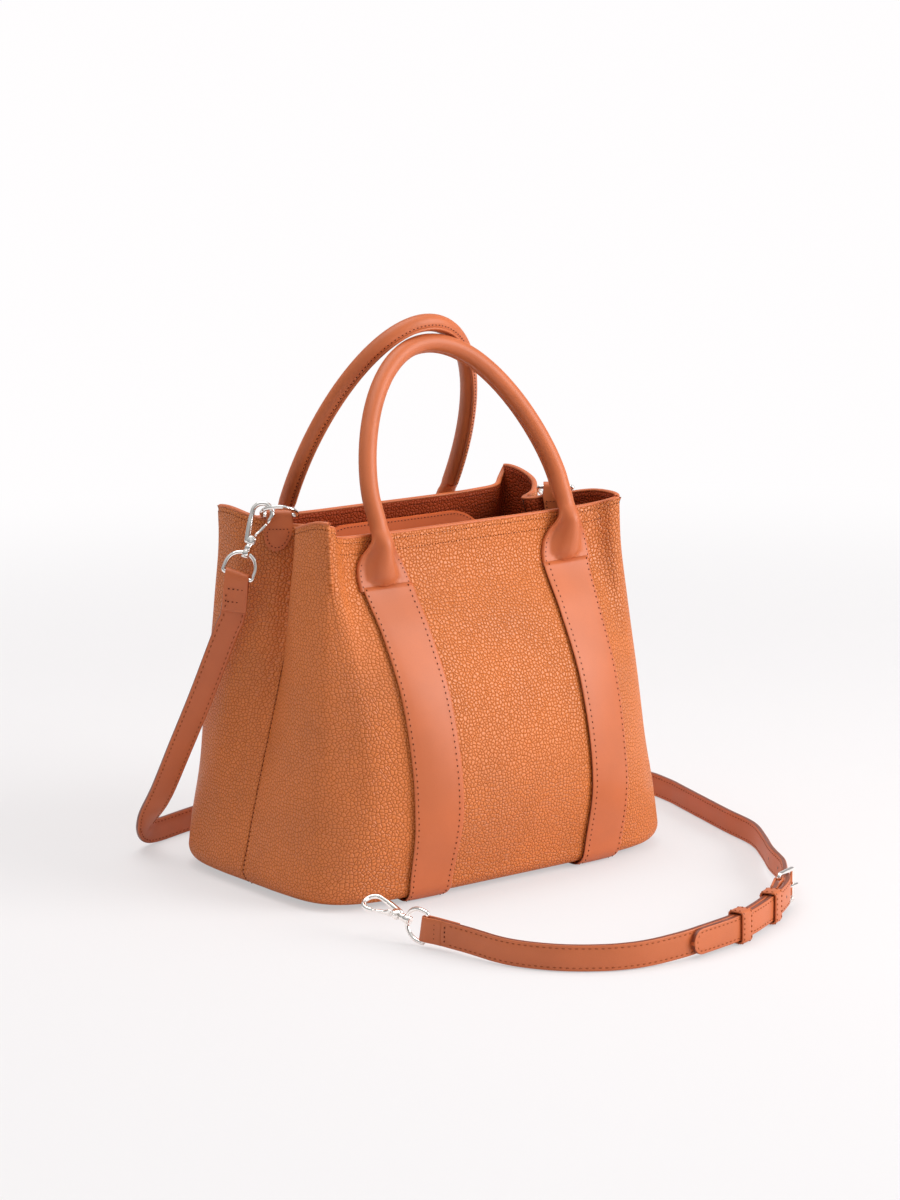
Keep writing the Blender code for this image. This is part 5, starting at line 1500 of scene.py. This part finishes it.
class HANDBAG_OT_ring_tabs(bpy.types.Operator):
    """Fold the two ring tabs over the rim and sew them down"""
    bl_idname = "handbag.ring_tabs"
    bl_label = "Ring tabs"

    def execute(self, context):
        for name, half, side in (("left_ring_tab", BACK, LEFT), ("right_ring_tab", FRONT, RIGHT)):
            self.tab(name, half, side)
        return {"FINISHED"}

    def tab(self, name, half, side):
        outer, inner = ring_tab_middle()
        low, high = RING_TAB_STATIONS[0], RING_TAB_STATIONS[2]
        middle, half_width = (low + high) / 2, (high - low) / 2
        round_end, loop_width = 0.0098, 0.94
        # Out from the wall, rise over the rim and share of the width, from the outer end round to the inner
        section = [(outer, drop - RING_TAB_OUTER_LENGTH,
                    math.sqrt(max(1 - (1 - min(drop / round_end, 1.0)) ** 2, 0.0025)))
                   for drop in (0.0, 0.0002, 0.0007, 0.0015, 0.0028, 0.0042, 0.0056, 0.0070, 0.0084, 0.0098, 0.0114,
                                0.0132, 0.0152)]
        section += [((outer + inner) / 2 + LOOP_RADIUS * math.cos(a), RING_BAR_RISE + LOOP_RADIUS * math.sin(a),
                     loop_width) for a in arc(0.0, 1.0, 12)]
        section += [(inner, rise, 1.0) for rise in (-0.001, -0.005, -0.010, -0.015, -0.0185, -RING_TAB_INNER_LENGTH)]
        columns = [[ring_tab_point(half, side, middle + half_width * share * narrow, outward, rise)
                    for outward, rise, narrow in section]
                   for share in (-1.0, -0.985, -0.93, -0.8, -0.55, -0.28, 0.0, 0.28, 0.55, 0.8, 0.93, 0.985, 1.0)]
        mesh = slab_mesh(name, columns, RING_TAB_THICKNESS, [smooth_leather(), edge_paint()], 0.0, 0.0003)
        piece(name + "_leather", mesh, (), "bag", (name,))
        reach, round_seam, top_row, low_row = half_width * 0.80, 0.0078, -0.004, -0.018
        curve = [(-math.cos(a) * reach, round_seam * (1 - math.sin(a)) + SEAM_INSET - RING_TAB_OUTER_LENGTH)
                 for a in arc(0.0, 1.0, 14)]
        curve = [(-reach, top_row)] + curve + [(reach, top_row)]
        across = [(share, -0.0032) for share in spread(-reach, reach, 6)]
        box_line = [(-reach, top_row), (-reach, low_row), (reach, low_row), (reach, top_row), (-reach, top_row)]
        way = ring_tab_outward(half, side)
        lift = RING_TAB_THICKNESS / 2 + STITCH_LIFT
        lines = [[(ring_tab_point(half, side, middle + share, surface, rise), facing_way) for share, rise in line]
                 for line, surface, facing_way in ((curve, outer + lift, way), (across, outer + lift, way),
                                                   (box_line, inner - lift, -way))]
        sew(name + "_stitches", lines, "bag", 0.6, 0.8)


class HANDBAG_OT_seams(bpy.types.Operator):
    """Sew the rim, the facing and the two side seams"""
    bl_idname = "handbag.seams"
    bl_label = "Wall seams"

    def execute(self, context):
        inner = -(LEATHER + FACING_GAP + FACING + STITCH_LIFT)
        for half in (FRONT, BACK):
            lines = []
            for distance, reach in RIM_SEAMS:
                row = 1.0 - distance / (RIM_HEIGHT - LOW_HEIGHT)
                lines += [[(skin_point(half, station, row, out), skin_normal(half, station, row) * way)
                           for station in spread(-reach, reach, 150)] for out, way in ((STITCH_LIFT, 1), (inner, -1))]
            sew(f"{HALF_NAMES[half]}_rim_stitches", lines, "bag", 0.55, 0.6)
        lines = [[(skin_point(half, station, row, STITCH_LIFT), skin_normal(half, station, row))
                  for row in spread(-1.0, 0.985, 90)]
                 for half, station in ((FRONT, -SIDE_SEAM_STATION), (BACK, SIDE_SEAM_STATION))]
        sew("side_seam_stitches", lines, "bag", 0.8, 0.9)
        return {"FINISHED"}


class HANDBAG_OT_hardware(bpy.types.Operator):
    """Turn and bend the D-rings, swivel hooks, strap rings and the buckle"""
    bl_idname = "handbag.hardware"
    bl_label = "Hardware"

    def execute(self, context):
        self.sides = context.scene.handbag_hardware.wire_sides
        for label, half, side in (("left", BACK, LEFT), ("right", FRONT, RIGHT)):
            self.d_ring(f"{label}_d_ring", half, side, f"{label}_ring")
        free_hook, free_ring = floor_frames()
        for prefix, matrix, body in (("hook_a", hanging_hook_matrix(), "clipped"), ("hook_b", free_hook, "free")):
            self.hook(prefix, matrix, f"{body}_hook")
            self.gate(prefix, matrix, f"{body}_gate")
        self.strap_ring("ring_a", hanging_ring_matrix(), "bag")
        self.strap_ring("ring_b", free_ring, "free_ring")
        matrix = buckle_matrix()
        self.buckle_frame(matrix)
        self.prong(matrix)
        return {"FINISHED"}

    def metal(self, name, parts, matrix, body):
        mesh = new_mesh(name, *moved(parts, matrix))
        return piece(name + "_metal", mesh, [nickel_material()], body, (name,))

    def d_ring(self, name, half, side, body):
        matrix, radius = ring_frame(half, side)
        corner = [Vector((radius * (0.90 + 0.10 * math.sin(a)), 0, radius * 0.10 * (1 - math.cos(a))))
                  for a in arc(0.0, 0.5, 4)[1:]]
        path = [Vector((radius * share, 0, 0)) for share in spread(-0.90, 0.90, 10)] + corner
        path += [Vector((radius * math.cos(a), 0, D_SIDE_HEIGHT + radius * math.sin(a)))
                 for a in arc(0.0, 1.0, 40)]
        path += [Vector((-point.x, 0, point.z)) for point in corner[::-1]]
        self.metal(name, wire_parts(path, D_WIRE_RADIUS, self.sides, cyclic=True), matrix, body)

    def hook_line(self):
        top = HOOK_LENGTH - HOOK_ARC_RADIUS
        knots = [Vector((-HOOK_ARM_SPREAD * 0.8, 0, -DISC_RADIUS / 4)),
                 Vector((-HOOK_ARM_SPREAD, 0, DISC_RADIUS / 2)), Vector((-HOOK_ARC_RADIUS * 0.82, 0, top * 0.6))]
        knots += [Vector((HOOK_ARC_RADIUS * math.cos(a), 0, top + HOOK_ARC_RADIUS * math.sin(a)))
                  for a in arc(1.0, 0.0, 24)]
        knots.append(Vector((HOOK_ARC_RADIUS * 0.93, 0, top * 0.80)))
        last = len(knots) - 1
        line = []
        for i in range(last):
            around = [knots[min(max(i + step, 0), last)] for step in (-1, 0, 1, 2)]
            count = 6 if i < 3 or i == last - 1 else 1
            line += [catmull_rom(*around, step / count) for step in range(count)]
        return line + [knots[-1]]

    def hook(self, prefix, matrix, body):
        line = self.hook_line()
        shoulder = HOOK_LENGTH - HOOK_ARC_RADIUS
        shares = [1.0 + HOOK_SWELL * (1 - smooth_step(0.45 * shoulder, 0.95 * shoulder, point.z)) for point in line]
        shares[-3:] = 0.97, 0.88, 0.72
        disc = [(DISC_THICKNESS * along, DISC_RADIUS * share) for along, share in
                ((-1, 0.0), (-1, 0.86), (-0.8, 0.97), (0.0, 1.0), (0.8, 0.97), (1, 0.86), (1, 0.0))]
        collar_end = -(STEM_LENGTH - BOSS_HEIGHT / 2 - GAP)
        head = -(STEM_LENGTH + BOSS_HEIGHT / 2 + GAP)
        stem = ((-DISC_RADIUS * 0.55, 0.0), (-DISC_RADIUS * 0.6, 0.0020), (-DISC_RADIUS - 0.0002, 0.0016),
                (-DISC_RADIUS - 0.0005, COLLAR_RADIUS * 0.96), (-DISC_RADIUS - 0.0010, COLLAR_RADIUS),
                (collar_end + 0.0006, COLLAR_RADIUS), (collar_end + 0.0001, COLLAR_RADIUS * 0.90),
                (collar_end, PIN_RADIUS), (head, PIN_RADIUS), (head - 0.0001, BOSS_RADIUS * 0.92),
                (head - 0.0005, BOSS_RADIUS), (head - 0.0009, BOSS_RADIUS * 0.82),
                (head - PIN_RADIUS, BOSS_RADIUS * 0.45), (head - PIN_RADIUS, 0.0))
        parts = [wire_parts(line, HOOK_WIRE_RADIUS, self.sides, shares=shares), turned_parts(disc, (0, 1, 0), 32),
                 turned_parts(stem, (0, 0, 1), 32)]
        self.metal(f"{prefix}_body", join_parts(parts), matrix, body)
        reach = GATE_WIDTH / 2 + 0.0001
        rivet = ((-reach, 0.0), (-reach, 0.0007), (-reach + 0.00012, 0.00095), (-reach + 0.0004, 0.0010),
                 (reach - 0.0004, 0.0010), (reach - 0.00012, 0.00095), (reach, 0.0007), (reach, 0.0))
        self.metal(f"{prefix}_rivet", turned_parts(rivet, (0, 1, 0), 24), matrix, body)

    def gate(self, prefix, matrix, body):
        """Two round cheeks beside the hook's disc, and the lever between them and the hook's nose."""
        nose = self.hook_line()[-1]
        tip = nose * (1 - (HOOK_WIRE_RADIUS + GAP) / nose.length)
        half, rim, bore = GATE_WIDTH / 2, DISC_RADIUS * 0.8, 0.0011
        parts = []
        for side in (-1, 1):
            near, far = side * (DISC_THICKNESS + GAP), side * half
            parts.append(turned_parts(((near, bore), (near, rim * 0.97), (near + side * 0.0002, rim),
                                       (far - side * 0.0003, rim), (far, rim * 0.90), (far, bore)),
                                      (0, 1, 0), 28))
        rings = [[Vector((squared(math.cos(a), 0.75) * 0.00105 * deep, squared(math.sin(a), 0.6) * half * wide, z))
                  for a in circle(16)] for z, wide, deep in (
            (0.0036, 1.0, 1.0), (0.0050, 0.92, 1.02), (0.0062, 0.62, 0.98), (0.0078, 0.44, 0.95),
            (0.0105, 0.40, 0.92), (tip.length - 0.0012, 0.38, 0.88), (tip.length - 0.0003, 0.34, 0.75),
            (tip.length, 0.24, 0.5))]
        parts.append(loft_parts(rings))
        lever = matrix @ Matrix.Rotation(math.atan2(tip.x, tip.z), 4, "Y")
        self.metal(f"{prefix}_gate", join_parts(parts), lever, body)

    def strap_ring(self, name, matrix, body):
        radius = STRAP_WIDTH / 2 + 2 * GAP + BUCKLE_WIRE_RADIUS
        size = radius * 0.16
        corner = [Vector((size - size * math.sin(a) - radius, 0, size - size * math.cos(a)))
                  for a in arc(0.0, 0.5, 5)[1:]]
        path = [Vector((x, 0, 0)) for x in spread(radius - size, size - radius, 8)] + corner
        path += [Vector((radius * math.cos(a), 0, STRAP_RING_HEIGHT - radius + radius * math.sin(a)))
                 for a in arc(1.0, 0.0, 36)]
        path += [Vector((-point.x, 0, point.z)) for point in corner[::-1]]
        reach, bore, z = BOSS_HEIGHT / 2, PIN_RADIUS + GAP, STRAP_RING_HEIGHT
        boss = turned_parts(((z - reach, bore), (z - reach, BOSS_RADIUS * 0.9), (z - reach + 0.0003, BOSS_RADIUS),
                             (z + reach - 0.0003, BOSS_RADIUS), (z + reach, BOSS_RADIUS * 0.9), (z + reach, bore)),
                            (0, 0, 1), 28)
        parts = join_parts([wire_parts(path, BUCKLE_WIRE_RADIUS, self.sides, cyclic=True), boss])
        self.metal(name, parts, matrix, body)

    def buckle_frame(self, matrix):
        """A flattened wire bent round a rectangle with round corners."""
        half = STRAP_WIDTH / 2 + 2 * GAP + BUCKLE_WIRE_RADIUS
        corner = 0.0014
        bends = [Vector((x + corner * math.cos(a), 0, z + corner * math.sin(a)))
                 for x, z, a in rounded(0.0, BUCKLE_LENGTH, -half, half, corner, 5, first=2)]
        path = []
        for point, after in zip(bends, bends[1:] + bends[:1]):
            steps = max(1, round((after - point).length / 0.0025))
            path += [point.lerp(after, step / steps) for step in range(steps)]
        rings = []
        for point, (tangent, _, _) in zip(path, directions_along(path, True)):
            outward = Vector((point.x - BUCKLE_LENGTH / 2, 0, point.z)).normalized()
            outward = (outward - tangent * outward.dot(tangent)).normalized()
            rings.append([point + outward * squared(math.cos(a), 0.7) * BUCKLE_WIRE_RADIUS
                          + Vector((0, squared(math.sin(a), 0.7) * BUCKLE_WIRE_RADIUS * 0.95, 0))
                          for a in circle(16)])
        self.metal("buckle_frame", loft_parts(rings, cyclic=True), matrix, "buckle")

    def prong(self, matrix):
        loop = BUCKLE_WIRE_RADIUS + GAP + PRONG_RADIUS
        eye = [Vector((loop * math.cos(a), loop * math.sin(a), 0)) for a in arc(0.0, 1.9, 14)]
        start, far = Vector((loop, 0, 0)), Vector((BUCKLE_LENGTH + BUCKLE_WIRE_RADIUS, -loop, 0))
        rod = [start.lerp(far, share) + Vector((0, -0.0004 * math.sin(math.pi * share), 0))
               for share in spread(0.0, 1.0, 14)]
        parts = join_parts([wire_parts(eye, PRONG_RADIUS, 12), wire_parts(rod, PRONG_RADIUS, 12)])
        self.metal("buckle_prong", parts, matrix, "buckle")


class HANDBAG_OT_pouch(bpy.types.Operator):
    """Sew the inner pouch: two rounded panels on a gusset"""
    bl_idname = "handbag.pouch"
    bl_label = "Pouch"

    def outline(self):
        """The panels' outline, wider towards the floor."""
        corner = POUCH_CORNER
        points = [(x + corner * math.cos(a), z + corner * math.sin(a)) for x, z, a in
                  rounded(-POUCH_HALF_WIDTH, POUCH_HALF_WIDTH, 0.0, POUCH_HEIGHT, corner, 12)]
        return [(x * (1 + POUCH_FLARE / POUCH_HALF_WIDTH * (1 - z / POUCH_HEIGHT)), z) for x, z in points]

    def panel_line(self, origin, outline, side, y, shrink):
        """The outline drawn in to its middle. The front panel's lip leans back on to the back panel's."""
        middle = Vector((0, 0, POUCH_HEIGHT / 2))
        line = [middle + (Vector((x, 0, z)) - middle) * shrink + Vector((0, y, 0)) for x, z in outline]
        reach = POUCH_THICKNESS - 2 * POUCH_LEATHER - GAP if side < 0 else 0.0
        return [origin + point + Vector((0, reach * smooth_step(POUCH_HEIGHT - POUCH_LIP, POUCH_HEIGHT, point.z), 0))
                for point in line]

    def execute(self, context):
        floor = BASE_THICKNESS + LAYER_GAP + LEATHER + LAYER_GAP + LINING + 2 * GAP
        origin = Vector((*POUCH_PLACE, floor))
        outline = self.outline()
        for name, side in (("pouch_front", -1), ("pouch_back", 1)):
            outer = side * POUCH_THICKNESS / 2
            rings = [self.panel_line(origin, outline, side, outer - side * POUCH_LEATHER * share, shrink)
                     for shrink, share in ((0.80, 0.0), (0.96, 0.0), (0.985, 0.04), (0.996, 0.18), (1.0, 0.42),
                                           (1.0, 0.62), (0.996, 0.85), (0.985, 0.97), (0.80, 1.0))]
            mesh = new_mesh(name, *loft_parts(rings))
            piece(name + "_leather", mesh, [pouch_leather()], "pouch", (name,))
            seam = [(point, Vector((0, side, 0)))
                    for point in self.panel_line(origin, outline, side, outer + side * 0.0001, 0.984)]
            sew(name + "_stitches", [seam + seam[:1]], "pouch", 0.7, 0.8)
        inset, depth = 1 - POUCH_LEATHER / POUCH_HALF_WIDTH, POUCH_THICKNESS / 2 - GAP
        # The gusset runs down one side, under the floor and up the other, and leaves the top open
        columns = [[origin + Vector((x * inset, y, POUCH_LEATHER + z * inset)) for y in spread(-depth, depth, 6)]
                   for x, z in outline[25:] + outline[:1]]
        mesh = slab_mesh("pouch_gusset", columns, POUCH_LEATHER, [pouch_leather()], 0.0)
        piece("pouch_gusset_leather", mesh, (), "pouch", ("pouch_gusset",))
        return {"FINISHED"}


class HANDBAG_OT_studio(bpy.types.Operator):
    """Set the pale floor, the soft lamps and the camera"""
    bl_idname = "handbag.studio"
    bl_label = "Studio"

    def execute(self, context):
        studio, scene = context.scene.handbag_studio, context.scene
        self.floor(tuple(studio.floor_colour))
        self.world(scene, studio.sky_level)
        self.lamp("key lamp", (1.15, -1.50, 0.90), (0.0, 0.0, 0.12), 1.5, studio.key_power)
        self.lamp("top lamp", (-0.15, 0.25, 1.7), (0.0, 0.0, 0.1), 1.3, studio.top_power)
        data = bpy.data.cameras.new("camera")
        data.lens = 100.5
        data.sensor_width = 36.0
        data.clip_start, data.clip_end = 0.05, 60.0
        camera = add_object("camera", data)
        back = Vector((-0.59121, -0.78451, 0.18711)).normalized()
        right = Vector((0.79724, -0.60355, -0.01153))
        right = (right - back * right.dot(back)).normalized()
        camera.matrix_world = Matrix((right, back.cross(right), back)).transposed().to_4x4()
        camera.location = (-1.20416, -1.62637, 0.54495)
        scene.camera = camera
        scene.view_settings.view_transform = "Standard"
        return {"FINISHED"}

    def floor(self, colour):
        """A flat floor that rises behind the bag in one wide curve."""
        bend_start, bend_radius = 1.6, 1.2
        profile = [(-4.0, 0.0), (bend_start, 0.0)]
        profile += [(bend_start + bend_radius * math.sin(a), bend_radius * (1 - math.cos(a)))
                    for a in arc(0.0, 0.5, 16)[1:]]
        profile += [(bend_start + bend_radius, 4.5)]
        turn = Matrix.Rotation(math.radians(-36.9), 3, "Z")
        points = [turn @ Vector((x, y, z)) for x in (-6.0, 6.0) for y, z in profile]
        rows = len(profile)
        faces = [(j, rows + j, rows + j + 1, j + 1) for j in range(rows - 1)]
        mesh = new_mesh("floor", points, faces, fix=False)
        mesh.shade_smooth()
        mesh.materials.append(floor_material(colour))
        item = add_object("floor", mesh)

    def world(self, scene, level):
        """A white surround, brighter overhead, that the camera sees as plain white."""
        world = bpy.data.worlds.new("white surround")
        world.use_nodes = True
        tree = world.node_tree
        place = tree.nodes.new("ShaderNodeTexCoord").outputs["Generated"]
        split = add(tree, "ShaderNodeSeparateXYZ", {0: place})
        dome = sum_of(tree, "MULTIPLY", ranged(tree, split.outputs["Z"], -0.1, 0.9, 0.35, 1.55), level)
        ray = tree.nodes.new("ShaderNodeLightPath").outputs
        seen = sum_of(tree, "MAXIMUM", ray["Is Camera Ray"], ray["Is Transmission Ray"])
        strength = add(tree, "ShaderNodeMix", {0: seen, 2: dome, 3: 1.0})
        back = tree.nodes["Background"]
        feed(tree, (1.0, 0.99, 0.985, 1.0), back.inputs["Color"])
        feed(tree, strength.outputs[0], back.inputs["Strength"])
        scene.world = world

    def lamp(self, name, place, target, size, power):
        data = bpy.data.lights.new(name, "AREA")
        data.energy = power
        data.shape = "DISK"
        data.size = size
        item = add_object(name, data)
        item.location = place
        item.rotation_euler = (Vector(target) - Vector(place)).to_track_quat("-Z", "Y").to_euler()


class HANDBAG_PT_making(bpy.types.Panel):
    """Lists the handbag's settings and the steps that make it"""
    bl_label = "Handbag"
    bl_idname = "HANDBAG_PT_making"
    bl_space_type = "VIEW_3D"
    bl_region_type = "UI"
    bl_category = "Handbag"

    def draw(self, context):
        layout = self.layout
        for title, settings in (("Leather", context.scene.handbag_leather),
                                ("Hardware", context.scene.handbag_hardware),
                                ("Studio", context.scene.handbag_studio)):
            box = layout.box()
            box.label(text=title)
            for name in settings.__annotations__:
                box.prop(settings, name)
        for operator in OPERATORS:
            layout.operator(operator.bl_idname)


OPERATORS = (HANDBAG_OT_studio, HANDBAG_OT_straps, HANDBAG_OT_walls, HANDBAG_OT_lining, HANDBAG_OT_bands,
             HANDBAG_OT_handles, HANDBAG_OT_ring_tabs, HANDBAG_OT_seams, HANDBAG_OT_hardware, HANDBAG_OT_pouch)
SETTINGS = (("handbag_leather", HandbagLeather), ("handbag_hardware", HandbagHardware),
            ("handbag_studio", HandbagStudio))


def register():
    for name, group in SETTINGS:
        bpy.utils.register_class(group)
        setattr(bpy.types.Scene, name, PointerProperty(type=group))
    for operator in OPERATORS:
        bpy.utils.register_class(operator)
    bpy.utils.register_class(HANDBAG_PT_making)


def unregister():
    bpy.utils.unregister_class(HANDBAG_PT_making)
    for operator in reversed(OPERATORS):
        bpy.utils.unregister_class(operator)
    for name, group in reversed(SETTINGS):
        delattr(bpy.types.Scene, name)
        bpy.utils.unregister_class(group)


def main():
    register()
    for operator in OPERATORS:
        family, step = operator.bl_idname.split(".")
        getattr(getattr(bpy.ops, family), step)()


if __name__ == "__main__":
    main()
